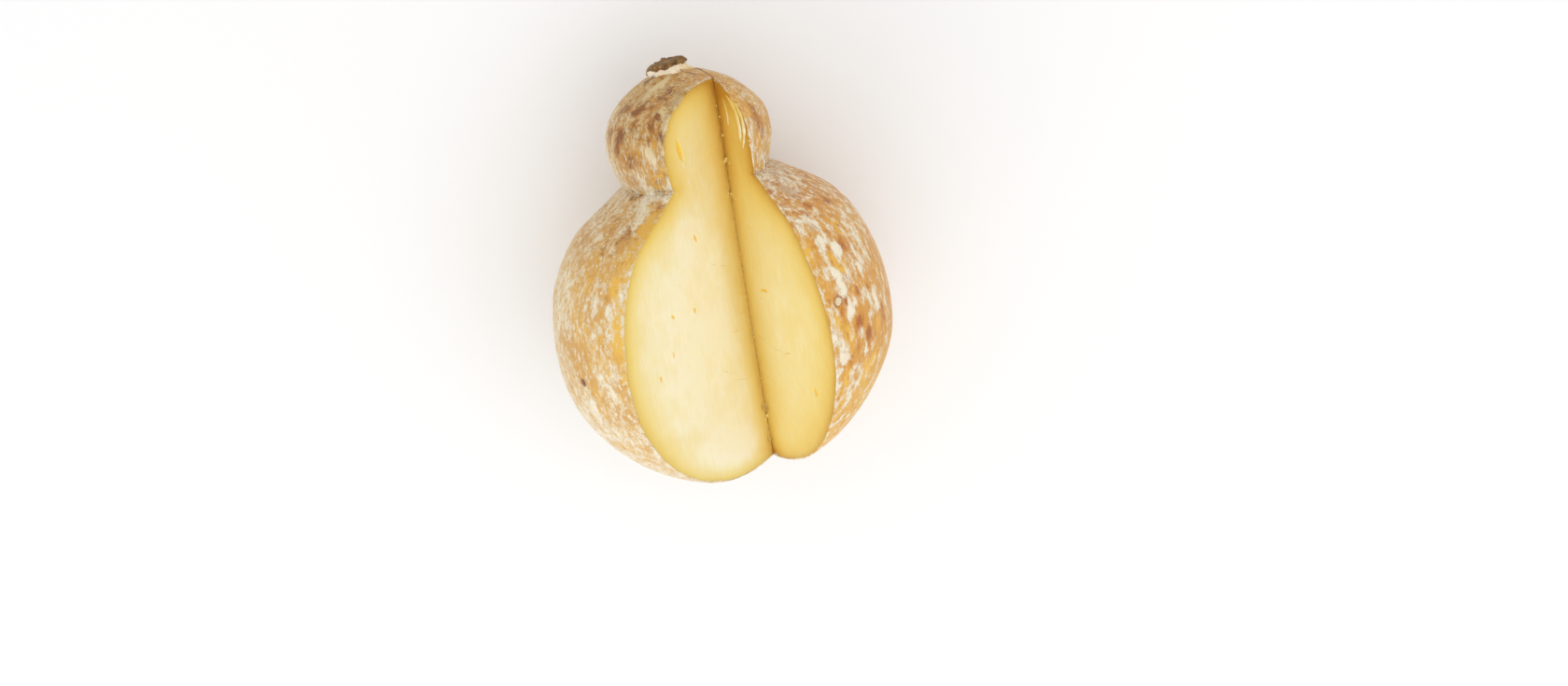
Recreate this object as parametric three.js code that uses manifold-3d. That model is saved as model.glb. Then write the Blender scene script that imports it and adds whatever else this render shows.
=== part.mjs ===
// A provolone with a round belly, a small head tied off above it and a knob, cut open by a long wedge.
// Millimetres. The cheese lies on its back on Z = 0, the cut upwards. Its axis runs along Y, head to +Y.

import * as THREE from 'three';
import { mergeVertices } from 'three/addons/utils/BufferGeometryUtils.js';
import Module from 'manifold-3d';

const wasm = await Module();
wasm.setup();

const { degToRad, lerp, smoothstep } = THREE.MathUtils;

// Heights are measured along the axis from the middle of the belly.
// Turns go round the axis from straight up, positive towards +X.
const belly = {
  radius: 75, tailSquash: 0.981, slump: 0.12, slumpFrom: 45, slumpTo: 63.75, rings: 27, bunching: 1.3,
};
const head = { height: 81, radius: 36.1, rise: 27.4, roundness: 2.32, drop: 26.2, rings: 20 };
const neck = {
  height: 65.3, pleats: 21, unevenness: 1.6, unevenCount: 3, pleatDepth: 1.1, pleatReach: 8, pleatRadius: 20,
};
const segments = 72;

// How far the skin stands off to the side at some heights, as the tail and the shoulders aren't centred
const sway = [[-75, -1.9], [-40, -1.9], [10, 0.1], [52, 1], [66, 0.1], [120, 0]];

// Slow swellings and hollows of the skin: how high, how many round the cheese, and how long along it
const lumpWaves = [
  { size: 0.45, count: 2, phase: 1.1, length: 31 },
  { size: 0.27, count: 3, phase: -0.7, length: -23 },
  { size: 0.22, count: 5, phase: 2, length: 17 },
];
// Places where the skin bulges or is pressed in, their spread along the cheese and, in degrees, round it
const bulges = [
  { height: 65, turn: 47, along: 6.5, round: 20, size: 3.4 },
  { height: 52, turn: 84, along: 9, round: 28, size: -1.7 },
  { height: -22, turn: 76, along: 17, round: 25, size: 1.5 },
  { height: 33, turn: -86, along: 14, round: 28, size: 1.1 },
  { height: 99, turn: 92, along: 6, round: 30, size: -1.6 },
];
// The crown is drawn up towards the knob
const knobLift = { height: 4.2, spread: 17 };

// The knob that is left where the curd was pinched off, with its dry cap
const knob = { x: -3.1, z: -7, foot: 104.7, lean: degToRad(9), segments: 24 };
const knobRipples = [
  { size: 0.05, count: 3, phase: 0.4, climb: 0 },
  { size: 0.035, count: 7, phase: 0, climb: 1 },
];
const knobTilt = { slope: 0.05, count: 2, phase: 1 };
const knobOutline = [
  [0, 0], [13, 0], [11.6, 3], [10.1, 5.4], [9.5, 7.6], [10.1, 9.2], [9.8, 10.7], [7.2, 11.9], [0, 11.6],
];

// The wedge that was cut out: its inner edge runs from the head to the tail, and two faces rise from it
const cut = {
  top: new THREE.Vector3(15.6, 106.3, 6.1),
  tail: new THREE.Vector3(10.3, -71.8, -12.7),
  turns: [-40.5, 26.6].map(degToRad),
  reach: 130,
  overrun: 30,
  bow: 0.6,
  stations: 44,
  steps: 13,
  bunching: 1.25,
};
// The long waves that the blade left on the faces, flat beside the inner edge
const bladeWave = {
  size: 0.5, alongLength: 19, alongPhases: [0, 2], outLength: 15, outPhases: [0.8, -0.2], flatFor: 14,
};

// The pull of the curd left small slits: where they lie from the cut's top end, and their size
const slits = [
  { face: 0, along: 22.9, out: 28.8, length: 10.4, width: 2.3, turn: -12 },
  { face: 0, along: 63.4, out: 27.7, length: 4.2, width: 1.4, turn: -11 },
  { face: 0, along: 114.7, out: 64.4, length: 3.4, width: 1.4, turn: -3 },
  { face: 1, along: 94.2, out: 17.6, length: 7.6, width: 1.3, turn: 95 },
  { face: 1, along: 133.6, out: 50.3, length: 4.4, width: 2.4, turn: 20 },
];
const slitForm = { depth: 1.6, segments: 10, rings: 6 };
// The rim of the second face is torn away along the head
const tear = {
  along: 20.5, out: 15.6, length: 34, width: 20, depth: 12, tilt: degToRad(13), turn: degToRad(12.5),
};
const score = { width: 0.9, length: 19, depth: 1.3, start: 0.4, rise: degToRad(5) };

// It rests on a spot that its own weight has flattened
const flatDepth = 1.35;
const floorSize = 300;

// Corners closer than this are one corner, in the shapes as made and in the solid as cut
const finestGap = 1e-4;
const cutGap = 0.03;

const innerEdge = new THREE.Vector3().subVectors(cut.tail, cut.top);
const cutLength = innerEdge.length();
innerEdge.normalize();

// Half outline of belly and head, from the tail to the crown
function outline() {
  const points = [];
  const neckAngle = Math.asin(neck.height / belly.radius);
  for (let i = 0; i <= belly.rings; i++) {
    const angle = lerp(-Math.PI / 2, neckAngle, 1 - (1 - i / belly.rings) ** belly.bunching);
    const height = belly.radius * Math.sin(angle) * (angle < 0 ? belly.tailSquash : 1);
    const slump = 1 - belly.slump * smoothstep(height, belly.slumpFrom, belly.slumpTo);
    points.push(new THREE.Vector2(Math.max(belly.radius * Math.cos(angle) * slump, 0), height));
  }
  const neckRadius = points.at(-1).x;
  const footAngle = Math.asin((neck.height - head.height) / head.drop);
  const flare = neckRadius - head.radius * Math.cos(footAngle);
  for (let i = 1; i <= head.rings; i++) {
    const angle = lerp(footAngle, Math.PI / 2, i / head.rings);
    if (angle < 0) {
      const height = head.height + head.drop * Math.sin(angle);
      const nearNeck = (head.height - height) / (head.height - neck.height);
      points.push(new THREE.Vector2(head.radius * Math.cos(angle) + flare * nearNeck ** 3, height));
    } else {
      const power = 2 / head.roundness;
      const radius = i === head.rings ? 0 : head.radius * Math.cos(angle) ** power;
      points.push(new THREE.Vector2(radius, head.height + head.rise * Math.sin(angle) ** power));
    }
  }
  return points;
}

function lumps(turn, height) {
  const wave = ({ size, count, phase, length }) => size * Math.sin(count * turn + phase + height / length);
  return lumpWaves.reduce((sum, lump) => sum + wave(lump), 0);
}

function bulging(turn, height) {
  return bulges.reduce((sum, bulge) => {
    const away = (height - bulge.height) / bulge.along;
    const aside = 2 * Math.sin((turn - degToRad(bulge.turn)) / 2) / degToRad(bulge.round);
    return sum + bulge.size * Math.exp(-(away ** 2) - aside ** 2);
  }, 0);
}

// Gathers where the cord drew the neck in, deepest in the crease
function pleats(turn, height) {
  const folds = (1 + Math.cos(neck.pleats * turn + neck.unevenness * Math.sin(neck.unevenCount * turn))) / 2;
  return -neck.pleatDepth * folds * Math.exp(-Math.abs(height - neck.height) / neck.pleatReach);
}

function swayAt(height) {
  const next = Math.max(sway.findIndex(([above]) => above > height), 1);
  const [[low, from], [high, to]] = [sway[next - 1], sway[next]];
  return lerp(from, to, smoothstep(height, low, high));
}

function lift(x, z, height) {
  const distance = Math.hypot(x - knob.x, z - knob.z);
  const bump = knobLift.height * Math.exp(-((distance / knobLift.spread) ** 2));
  return bump * smoothstep(height, head.height, head.height + head.rise / 2);
}

function skinGeometry() {
  const geometry = new THREE.LatheGeometry(outline(), segments);
  const position = geometry.attributes.position;
  for (let i = 0; i < position.count; i++) {
    const [x, height, z] = [position.getX(i), position.getY(i), position.getZ(i)];
    const radius = Math.hypot(x, z);
    const turn = Math.atan2(x, z);
    const relief = lumps(turn, height) * radius / belly.radius
      + (pleats(turn, height) + bulging(turn, height)) * Math.min(radius / neck.pleatRadius, 1);
    const scale = radius > 0 ? 1 + relief / radius : 0;
    position.setXYZ(i, x * scale + swayAt(height), height + lift(x, z, height), z * scale);
  }
  return geometry;
}

function knobGeometry() {
  const profile = knobOutline.map(([x, y]) => new THREE.Vector2(x, y));
  const geometry = new THREE.LatheGeometry(profile, knob.segments);
  const position = geometry.attributes.position;
  for (let i = 0; i < position.count; i++) {
    const [x, y, z] = [position.getX(i), position.getY(i), position.getZ(i)];
    const turn = Math.atan2(x, z);
    const ripple = ({ size, count, phase, climb }) => size * Math.sin(count * turn + phase + climb * y);
    const scale = knobRipples.reduce((sum, wave) => sum + ripple(wave), 1);
    const tilt = knobTilt.slope * Math.sin(knobTilt.count * turn + knobTilt.phase) * Math.hypot(x, z);
    position.setXYZ(i, x * scale, y + tilt, z * scale);
  }
  geometry.rotateZ(knob.lean);
  geometry.translate(knob.x, knob.foot, knob.z);
  return geometry;
}

// The direction in which a cut face rises from the inner edge
function faceDirection(turn) {
  const direction = new THREE.Vector3(Math.sin(turn), 0, Math.cos(turn));
  return direction.addScaledVector(innerEdge, -direction.dot(innerEdge)).normalize();
}

function facePoint(face, along, out) {
  const direction = faceDirection(cut.turns[face]);
  const normal = new THREE.Vector3().crossVectors(innerEdge, direction);
  const wave = Math.sin(along / bladeWave.alongLength + bladeWave.alongPhases[face])
    * Math.sin(out / bladeWave.outLength + bladeWave.outPhases[face]) * smoothstep(out, 0, bladeWave.flatFor);
  const bow = cut.bow * Math.sin(Math.PI * THREE.MathUtils.clamp(along / cutLength, 0, 1));
  return cut.top.clone()
    .addScaledVector(innerEdge, along)
    .addScaledVector(direction, out)
    .addScaledVector(normal, bladeWave.size * wave)
    .add(new THREE.Vector3(-bow, 0, 0));
}

// The removed wedge as one closed solid: rows across it from face to face, carried along the inner edge
function wedgeGeometry() {
  const width = 2 * cut.steps + 1;
  const positions = [];
  for (let row = 0; row <= cut.stations; row++) {
    const along = lerp(-cut.overrun, cutLength + cut.overrun, row / cut.stations);
    for (let column = 0; column < width; column++) {
      const step = column - cut.steps;
      const out = cut.reach * (Math.abs(step) / cut.steps) ** cut.bunching;
      positions.push(...facePoint(step < 0 ? 0 : 1, along, out).toArray());
    }
  }
  const index = [];
  for (let row = 0; row < cut.stations; row++) {
    for (let column = 0; column < width; column++) {
      const [a, b] = [row * width + column, row * width + (column + 1) % width];
      index.push(a, b, b + width, a, b + width, a + width);
    }
  }
  const lastRow = cut.stations * width;
  for (let column = 1; column < width - 1; column++) {
    index.push(0, column + 1, column, lastRow, lastRow + column, lastRow + column + 1);
  }
  const geometry = new THREE.BufferGeometry();
  geometry.setAttribute('position', new THREE.Float32BufferAttribute(positions, 3));
  geometry.setIndex(index);
  return geometry;
}

function slitGeometry({ face, along, out, length, width, turn }) {
  const direction = faceDirection(cut.turns[face]);
  const normal = new THREE.Vector3().crossVectors(innerEdge, direction);
  const geometry = new THREE.SphereGeometry(1, slitForm.segments, slitForm.rings);
  geometry.scale(length / 2, width / 2, slitForm.depth);
  geometry.rotateZ(degToRad(turn));
  geometry.applyMatrix4(new THREE.Matrix4().makeBasis(innerEdge, direction, normal));
  geometry.translate(...facePoint(face, along, out).toArray());
  return geometry;
}

// Where the blade ran on past the cut's top end, in the plane of the second face, up to the knob
function scoreGeometry() {
  const run = faceDirection(cut.turns[1]).negate();
  const side = new THREE.Vector3().crossVectors(innerEdge, run);
  const geometry = new THREE.BoxGeometry(score.length, score.width, 2 * score.depth);
  geometry.applyMatrix4(new THREE.Matrix4().makeBasis(run, side, innerEdge.clone().negate()));
  geometry.rotateX(score.rise);
  const middle = cut.top.clone().addScaledVector(run, score.length / 2 - score.start);
  return geometry.translate(middle.x, middle.y, middle.z);
}

// A flat tool that takes the rim off the second face, tilted towards the skin
function tearGeometry() {
  const direction = faceDirection(cut.turns[1]);
  const normal = new THREE.Vector3().crossVectors(direction, innerEdge);
  const geometry = new THREE.BoxGeometry(tear.length, tear.width, tear.depth);
  geometry.translate(0, tear.width / 2, tear.depth / 2);
  geometry.rotateX(-tear.tilt);
  geometry.rotateZ(tear.turn);
  geometry.applyMatrix4(new THREE.Matrix4().makeBasis(innerEdge, direction, normal.negate()));
  return geometry.translate(...facePoint(1, tear.along, tear.out).toArray());
}

function floorGeometry() {
  const geometry = new THREE.BoxGeometry(floorSize, floorSize, floorSize);
  geometry.translate(0, 0, flatDepth - belly.radius - floorSize / 2);
  return geometry;
}

// The corners of a mesh with those closer than the gap made one, and the triangles that this leaves
function welded(geometry, gap) {
  const merged = mergeVertices(geometry, gap);
  const corners = merged.index.array;
  const kept = [];
  for (let i = 0; i < corners.length; i += 3) {
    const [a, b, c] = corners.slice(i, i + 3);
    if (a !== b && b !== c && c !== a) kept.push(a, b, c);
  }
  return merged.setIndex(kept);
}

function toSolid(geometry) {
  geometry.deleteAttribute('normal');
  geometry.deleteAttribute('uv');
  const merged = welded(geometry, finestGap);
  return new wasm.Manifold(new wasm.Mesh({
    numProp: 3,
    vertProperties: Float32Array.from(merged.attributes.position.array),
    triVerts: Uint32Array.from(merged.index.array),
  }));
}

function toGeometry(solid) {
  const mesh = solid.getMesh();
  const geometry = new THREE.BufferGeometry();
  geometry.setAttribute('position', new THREE.BufferAttribute(mesh.vertProperties, 3));
  geometry.setIndex(new THREE.BufferAttribute(mesh.triVerts, 1));
  return welded(geometry, cutGap);
}

function cheeseGeometry() {
  let cheese = toSolid(skinGeometry()).add(toSolid(knobGeometry()));
  const tools = [wedgeGeometry(), scoreGeometry(), tearGeometry(), floorGeometry()];
  for (const tool of [...tools, ...slits.map(slitGeometry)]) {
    cheese = cheese.subtract(toSolid(tool));
  }
  const geometry = toGeometry(cheese);
  geometry.computeBoundingBox();
  const middle = geometry.boundingBox.getCenter(new THREE.Vector3());
  return geometry.translate(-middle.x, -middle.y, belly.radius - flatDepth);
}

const rindAndPaste = new THREE.MeshStandardMaterial({ color: 0xe8c882, roughness: 0.55, metalness: 0 });

const cheese = new THREE.Mesh(cheeseGeometry(), rindAndPaste);
cheese.name = 'cheese';

const provolone = new THREE.Group();
provolone.add(cheese);

export default provolone;
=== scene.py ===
"""The finish of a provolone that lies on its back with a wedge cut out of it.

Lengths in the shapes are millimetres from the middle of the belly: X to the right, Y along the cheese
towards its head, Z up, out of the cut. Meshes are written in metres in the frame of the solid.
"""

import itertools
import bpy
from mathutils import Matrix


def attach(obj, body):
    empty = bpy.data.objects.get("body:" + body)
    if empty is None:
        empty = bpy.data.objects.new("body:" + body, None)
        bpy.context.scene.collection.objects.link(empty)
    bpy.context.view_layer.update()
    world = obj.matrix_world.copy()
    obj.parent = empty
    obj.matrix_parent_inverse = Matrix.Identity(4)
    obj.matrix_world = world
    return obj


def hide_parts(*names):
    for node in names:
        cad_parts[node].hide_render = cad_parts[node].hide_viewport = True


bl_info = {
    "name": "Provolone, cut open",
    "version": (1, 0, 0),
    "blender": (4, 5, 0),
    "location": "View3D > Sidebar > Provolone",
    "description": "Builds the rind, the cut paste and the knob of a provolone",
    "category": "Object",
}

import bpy
import numpy as np
from mathutils import Matrix, Vector

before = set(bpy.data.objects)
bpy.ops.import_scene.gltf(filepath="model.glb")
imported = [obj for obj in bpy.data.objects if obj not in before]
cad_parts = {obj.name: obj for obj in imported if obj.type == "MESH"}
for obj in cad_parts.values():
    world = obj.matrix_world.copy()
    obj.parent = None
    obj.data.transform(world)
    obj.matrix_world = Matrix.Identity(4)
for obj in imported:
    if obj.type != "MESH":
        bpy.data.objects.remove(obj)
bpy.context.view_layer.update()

BODY = "root"
NODE = "cheese"
MM = 0.001

# The middle of the belly in the frame of the solid
MIDDLE = np.array((0.370, -21.932, 73.65))

# Belly, head and neck, as in the solid
BELLY_RADIUS = 75.0
TAIL_SQUASH = 0.981
SLUMP, SLUMP_FROM, SLUMP_TO = 0.12, 45.0, 63.75
OUTLINE_STEPS = 400
HEAD_HEIGHT, HEAD_RADIUS, HEAD_RISE = 81.0, 36.1, 27.4
HEAD_ROUNDNESS, HEAD_DROP, NECK_FLARE = 2.32, 26.2, 3.563
NECK_HEIGHT, PLEATS, PLEAT_DEPTH, PLEAT_REACH = 65.3, 21, 1.1, 8.0
SWAY_HEIGHTS = (-75.0, -40.0, 10.0, 52.0, 66.0, 120.0)
SWAY = (-1.9, -1.9, 0.1, 1.0, 0.1, 0.0)
# Slow lumps: size, how many round the cheese, phase, length along it
LUMPS = ((0.45, 2, 1.1, 31.0), (0.27, 3, -0.7, -23.0), (0.22, 5, 2.0, 17.0))
# Bulges and hollows: height, turn, spread along in mm and round in degrees, size
BULGES = (
    (65.0, 47.0, 6.5, 20.0, 3.4), (52.0, 84.0, 9.0, 28.0, -1.7), (-22.0, 76.0, 17.0, 25.0, 1.5),
    (33.0, -86.0, 14.0, 28.0, 1.1), (99.0, 92.0, 6.0, 30.0, -1.6),
)
KNOB_X, KNOB_Z, KNOB_FOOT, KNOB_LEAN = -3.1, -7.0, 104.7, np.radians(9.0)
KNOB_SHIFT = 0.6
LIFT_HEIGHT, LIFT_SPREAD = 4.2, 17.0
# The fold under the crease: turns where it starts, is full and ends; height, width, size of lip and groove
FOLD_START, FOLD_FULL, FOLD_END = -1.0, -0.6, -0.3
LIP, GROOVE = (64.3, 1.7, 1.3), (66.6, 0.7, 0.5)

# The cut: its inner edge from head to tail, and the turn of its two faces about the cheese
CUT_TOP = np.array((15.6, 106.3, 6.1))
CUT_TAIL = np.array((10.3, -71.8, -12.7))
LEFT_TURN, RIGHT_TURN = np.radians(-40.5), np.radians(26.6)
LAST_TURN = LEFT_TURN + 2.0 * np.pi
CUT_LENGTH = float(np.linalg.norm(CUT_TAIL - CUT_TOP))
INNER_EDGE = (CUT_TAIL - CUT_TOP) / CUT_LENGTH
CUT_BOW = 0.6
WAVE_REACH = 14.0  # how far from the inner edge the faces' waves are full
FACE_FADE = 0.28  # the turn from a face over which its waves fade
# The torn rim's hinge: a point of it out and along, its slope, and how steeply the face falls away
TORN_OUT, TORN_ALONG, TORN_SLOPE, TORN_FALL = 15.6, 20.5, 0.2217, 0.23
FARTHEST, HALVINGS = 125.0, 26  # where and how finely the skin is looked for along a ray

LEFT, RIGHT = 0, 1
SOFT_WALL = 0.45  # how far the paste stays under the skin
RIND_DEPTH = 1.3
SCORE_DEPTH = 0.55
FOOT_TURN_IN = 1.6
BACK_STEP = 14  # the rind's back wall takes every so many columns
WELD_DIGITS = 5
# Rows of rays in the head, the neck, the shoulder and the tail
RIND_ROWS, PASTE_ROWS = (86, 34, 88, 131), (70, 24, 96, 140)
BELLY_COLUMNS, HEAD_COLUMNS = 408, 330


def smooth(value, low, high):
    """0 below low, 1 above high, and the curve 3t^2 - 2t^3 between them."""
    t = np.clip((value - low) / (high - low), 0.0, 1.0)
    return t * t * (3.0 - 2.0 * t)


def bell(value, middle, width):
    """A soft bump of height 1 at middle: exp(-(distance / width)^2)."""
    return np.exp(-(((value - middle) / width) ** 2))


def unit(vectors):
    """Vectors made 1 long."""
    return vectors / np.maximum(np.linalg.norm(vectors, axis=-1, keepdims=True), 1e-9)


def cell_value(cells, seed):
    """A number from 0 to 1 for each whole-numbered cell: its numbers multiplied, shifted and xor-ed."""
    x, y, z = (cells[..., i].astype(np.int64) for i in range(3))
    n = x * 374761393 + y * 668265263 + z * 1103515245 + seed * 144665
    n = (n ^ (n >> 13)) * 1274126177
    n = (n ^ (n >> 16)) * 69069
    n = n ^ (n >> 15)
    return (n & 0xFFFFFF) / 0xFFFFFF


def noise(points, size, seed):
    """Value noise from -1 to 1: random numbers at the corners of cells, blended by 3t^2 - 2t^3."""
    scaled = np.asarray(points, dtype=float) / size
    cells = np.floor(scaled)
    part = scaled - cells
    part = part * part * (3.0 - 2.0 * part)
    total = np.zeros(scaled.shape[:-1])
    for corner in itertools.product((0, 1), repeat=3):
        weight = np.prod(np.where(corner, part, 1.0 - part), axis=-1)
        total += weight * cell_value(cells + corner, seed)
    return 2.0 * total - 1.0


def rough_noise(points, size, seed, layers=3):
    """Layers of noise, each half the size and half the height of the one before."""
    total = sum(noise(points, np.asarray(size) / 2**i, seed + i) / 2**i for i in range(layers))
    return total / (2.0 - 0.5 ** (layers - 1))


def outline(height):
    """Radius of belly and head at a height.

    Belly: 75 cos(asin(h / 75)), drawn in towards the neck. Head below its widest: an ellipse that flares
    into the crease. Head above: (r / 36.1)^2.32 + ((h - 81) / 27.4)^2.32 = 1.
    """
    h = np.where(height < 0.0, height / TAIL_SQUASH, height)
    round_part = np.sqrt(np.clip(1.0 - (h / BELLY_RADIUS) ** 2, 0.0, None))
    belly = BELLY_RADIUS * round_part * (1.0 - SLUMP * smooth(height, SLUMP_FROM, SLUMP_TO))
    above = height - HEAD_HEIGHT
    top = np.clip(1.0 - (np.clip(above, 0.0, None) / HEAD_RISE) ** HEAD_ROUNDNESS, 0.0, None)
    upper = HEAD_RADIUS * top ** (1.0 / HEAD_ROUNDNESS)
    lower = HEAD_RADIUS * np.sqrt(np.clip(1.0 - (above / HEAD_DROP) ** 2, 0.0, None))
    lower = lower + NECK_FLARE * np.clip(-above / (HEAD_HEIGHT - NECK_HEIGHT), 0.0, 1.0) ** 3
    return np.where(height < NECK_HEIGHT, belly, np.where(above > 0.0, upper, lower))


def pull_table():
    """Heights up the cheese, the outline's radius at each, and how far along it each lies from the crease."""
    at_neck = np.arcsin((NECK_HEIGHT - HEAD_HEIGHT) / HEAD_RISE)
    heights = np.concatenate([
        -BELLY_RADIUS * TAIL_SQUASH * np.cos(np.linspace(0.0, np.pi / 2.0, OUTLINE_STEPS)),
        np.linspace(0.01, NECK_HEIGHT, OUTLINE_STEPS),
        HEAD_HEIGHT + HEAD_RISE * np.sin(np.linspace(at_neck, np.pi / 2.0, OUTLINE_STEPS)),
    ])
    heights = np.unique(heights)
    radii = outline(heights)
    walked = np.append(0.0, np.cumsum(np.hypot(np.diff(heights), np.diff(radii))))
    return heights, radii, walked - np.interp(NECK_HEIGHT, heights, walked)


HEIGHTS, RADII, WALKED = pull_table()
STEEPNESS = np.abs(np.gradient(WALKED, HEIGHTS))


def rolled_out(height):
    """The outline's radius at a height, and how far along it the height lies from the crease."""
    return np.interp(height, HEIGHTS, RADII), np.interp(height, HEIGHTS, WALKED)


def wrinkles(turn, height):
    """Fine pulled wrinkles: noise, narrow round the cheese and long along it, strongest at the neck."""
    round_axis = np.stack([np.sin(turn) * 26.0, np.cos(turn) * 26.0, height / 21.0], axis=-1)
    fine_axis = np.stack([np.sin(turn) * 55.0, np.cos(turn) * 55.0, height / 11.0], axis=-1)
    near_neck = np.exp(-np.abs(height - NECK_HEIGHT) / 16.0)
    size = 0.05 + 0.34 * near_neck + 0.08 * smooth(height, 70.0, 78.0)
    return size * (0.65 * noise(round_axis, 1.0, 11) + 0.35 * noise(fine_axis, 1.0, 12))


def skin_radius(turn, height):
    """Radius of the skin: outline, slow lumps, the neck's gathers and fold, fine wrinkles and dents."""
    radius = outline(height)
    lumps = sum(size * np.sin(count * turn + phase + height / length) for size, count, phase, length in LUMPS)
    folds = (1.0 + np.cos(PLEATS * turn + 1.6 * np.sin(3.0 * turn))) / 2.0
    pleats = -PLEAT_DEPTH * folds * np.exp(-np.abs(height - NECK_HEIGHT) / PLEAT_REACH)
    lip, groove = (size * bell(height, at, wide) for at, wide, size in (LIP, GROOVE))
    lip = (lip - groove) * smooth(turn, FOLD_START, FOLD_FULL) * (turn < FOLD_END)
    patch = np.stack([np.sin(turn) * radius, height, np.cos(turn) * radius], axis=-1)
    dents = 0.22 * noise(patch, 13.0, 21) + 0.09 * noise(patch, 4.5, 22)
    relief = lumps * radius / BELLY_RADIUS
    small = bulging(turn, height) + pleats + lip + wrinkles(turn, height) + dents
    return radius + relief + small * np.minimum(radius / 20.0, 1.0)


def bulging(turn, height):
    """The bulges: size times exp(-(height away / spread)^2 - (2 sin(turn away / 2) / spread)^2)."""
    total = np.zeros(np.shape(turn))
    for at_height, at_turn, along, round_it, size in BULGES:
        aside = 2.0 * np.sin((turn - np.radians(at_turn)) / 2.0) / np.radians(round_it)
        total = total + size * np.exp(-(((height - at_height) / along) ** 2) - aside**2)
    return total


def skin_place(points):
    """Turn, height and distance from the axis of points, with the crown's lift and the sway undone."""
    x, height, z = points[..., 0], points[..., 1], points[..., 2]
    level = height
    for _ in range(3):
        across = x - sway_at(level)
        bump = LIFT_HEIGHT * np.exp(-(((across - KNOB_X) ** 2 + (z - KNOB_Z) ** 2) / LIFT_SPREAD**2))
        level = height - bump * smooth(level, HEAD_HEIGHT, HEAD_HEIGHT + HEAD_RISE / 2.0)
    across = x - sway_at(level)
    return np.arctan2(across, z), level, np.hypot(across, z)


def sway_at(height):
    """How far the skin stands to the side at a height: the given values, joined by 3t^2 - 2t^3."""
    total = np.full(np.shape(height), SWAY[0])
    for low, high, start, end in zip(SWAY_HEIGHTS, SWAY_HEIGHTS[1:], SWAY, SWAY[1:]):
        total = total + (end - start) * smooth(height, low, high)
    return total


def skin_gap(points):
    """How far points stand out of the skin, measured from the axis; below 0 inside the cheese."""
    turn, level, distance = skin_place(points)
    return distance - skin_radius(turn, level)


def face_axes(turn):
    """The direction in which the half plane at a turn rises from the inner edge, and its normal."""
    level = np.stack([np.sin(turn), np.zeros_like(turn), np.cos(turn)], axis=-1)
    rise = unit(level - INNER_EDGE * (level @ INNER_EDGE)[..., None])
    return level, rise, np.cross(INNER_EDGE, rise)


def torn_depth(along, out):
    """How deep the second face falls away towards its torn rim along the head: 0.23 b^2 / (b + 0.8)."""
    hinge = TORN_OUT + TORN_SLOPE * (along - TORN_ALONG)
    reach = smooth(along, 1.5, 8.0) * (1.0 - smooth(along, 30.0, 40.0))
    beyond = np.clip(out - hinge, 0.0, None)
    return TORN_FALL * beyond * beyond / (beyond + 0.8) * reach


def face_wave(face, along, out):
    """How far a cut face stands out into the cut: the blade's long waves, less the torn rim."""
    waves = np.sin(along / 19.0 + 2.0 * face) * np.sin(out / 15.0 + 0.8 - face) * smooth(out, 0.0, 14.0)
    height = 0.5 * waves
    return height - torn_depth(along, out) if face == RIGHT else -height


def fan_point(turn, start, reach):
    """A point on the half plane at a turn, bent near the two faces as they are.

    start is a point on the inner edge plus a direction in the half plane times reach; its own along and out
    give the face's wave, which grows over the first 14 mm of reach and fades within 16 degrees of turn.
    """
    along = (start - CUT_TOP) @ INNER_EDGE
    _, rise, normal = face_axes(turn)
    out = np.einsum("...i,...i->...", start - CUT_TOP, rise)
    near_right = 1.0 - smooth(turn, RIGHT_TURN, RIGHT_TURN + FACE_FADE)
    near_left = smooth(turn, LAST_TURN - FACE_FADE, LAST_TURN)
    shift = near_right * face_wave(RIGHT, along, out) - near_left * face_wave(LEFT, along, out)
    bow = CUT_BOW * np.sin(np.pi * np.clip(along / CUT_LENGTH, 0.0, 1.0))
    share = np.minimum(reach / WAVE_REACH, 1.0)
    return start + normal * (shift * share)[..., None] - bow[..., None] * (1.0, 0.0, 0.0)


def edge_at(height):
    """The point of the inner edge at a height."""
    share = (CUT_TOP[1] - height) / (CUT_TOP[1] - CUT_TAIL[1])
    return CUT_TOP + (CUT_TAIL - CUT_TOP) * np.asarray(share)[..., None]


def rows_down(head_rows, neck_rows, shoulder_rows, tail_rows):
    """Starts and tilts of the rays that find the skin, from the cut's top to its tail.

    Head: a fan from the inner edge at the head's widest. Neck and shoulder: level rays, with one in the
    crease. Tail: a fan from the inner edge at the belly's widest.
    """
    head = np.linspace(np.pi / 2.0, 0.0, head_rows, endpoint=False)
    neck = np.linspace(HEAD_HEIGHT, NECK_HEIGHT, neck_rows, endpoint=False)
    steepest = np.arcsin(NECK_HEIGHT / BELLY_RADIUS)
    shoulder = BELLY_RADIUS * np.sin(np.linspace(steepest, 0.0, shoulder_rows, endpoint=False))
    tail = np.linspace(0.0, -np.pi / 2.0, tail_rows)
    heights = np.concatenate([np.full(head_rows, HEAD_HEIGHT), neck, shoulder, np.zeros(tail_rows)])
    tilts = np.concatenate([head, np.zeros(neck_rows + shoulder_rows), tail])
    return heights, tilts


def turns_round(columns):
    """Turns of the half planes from the right face round the back to the left one, closer near the faces."""
    share = np.linspace(0.0, 1.0, columns)
    share = share - 0.5 * np.sin(2.0 * np.pi * share) / (2.0 * np.pi)
    return RIGHT_TURN + (LAST_TURN - RIGHT_TURN) * share


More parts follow.
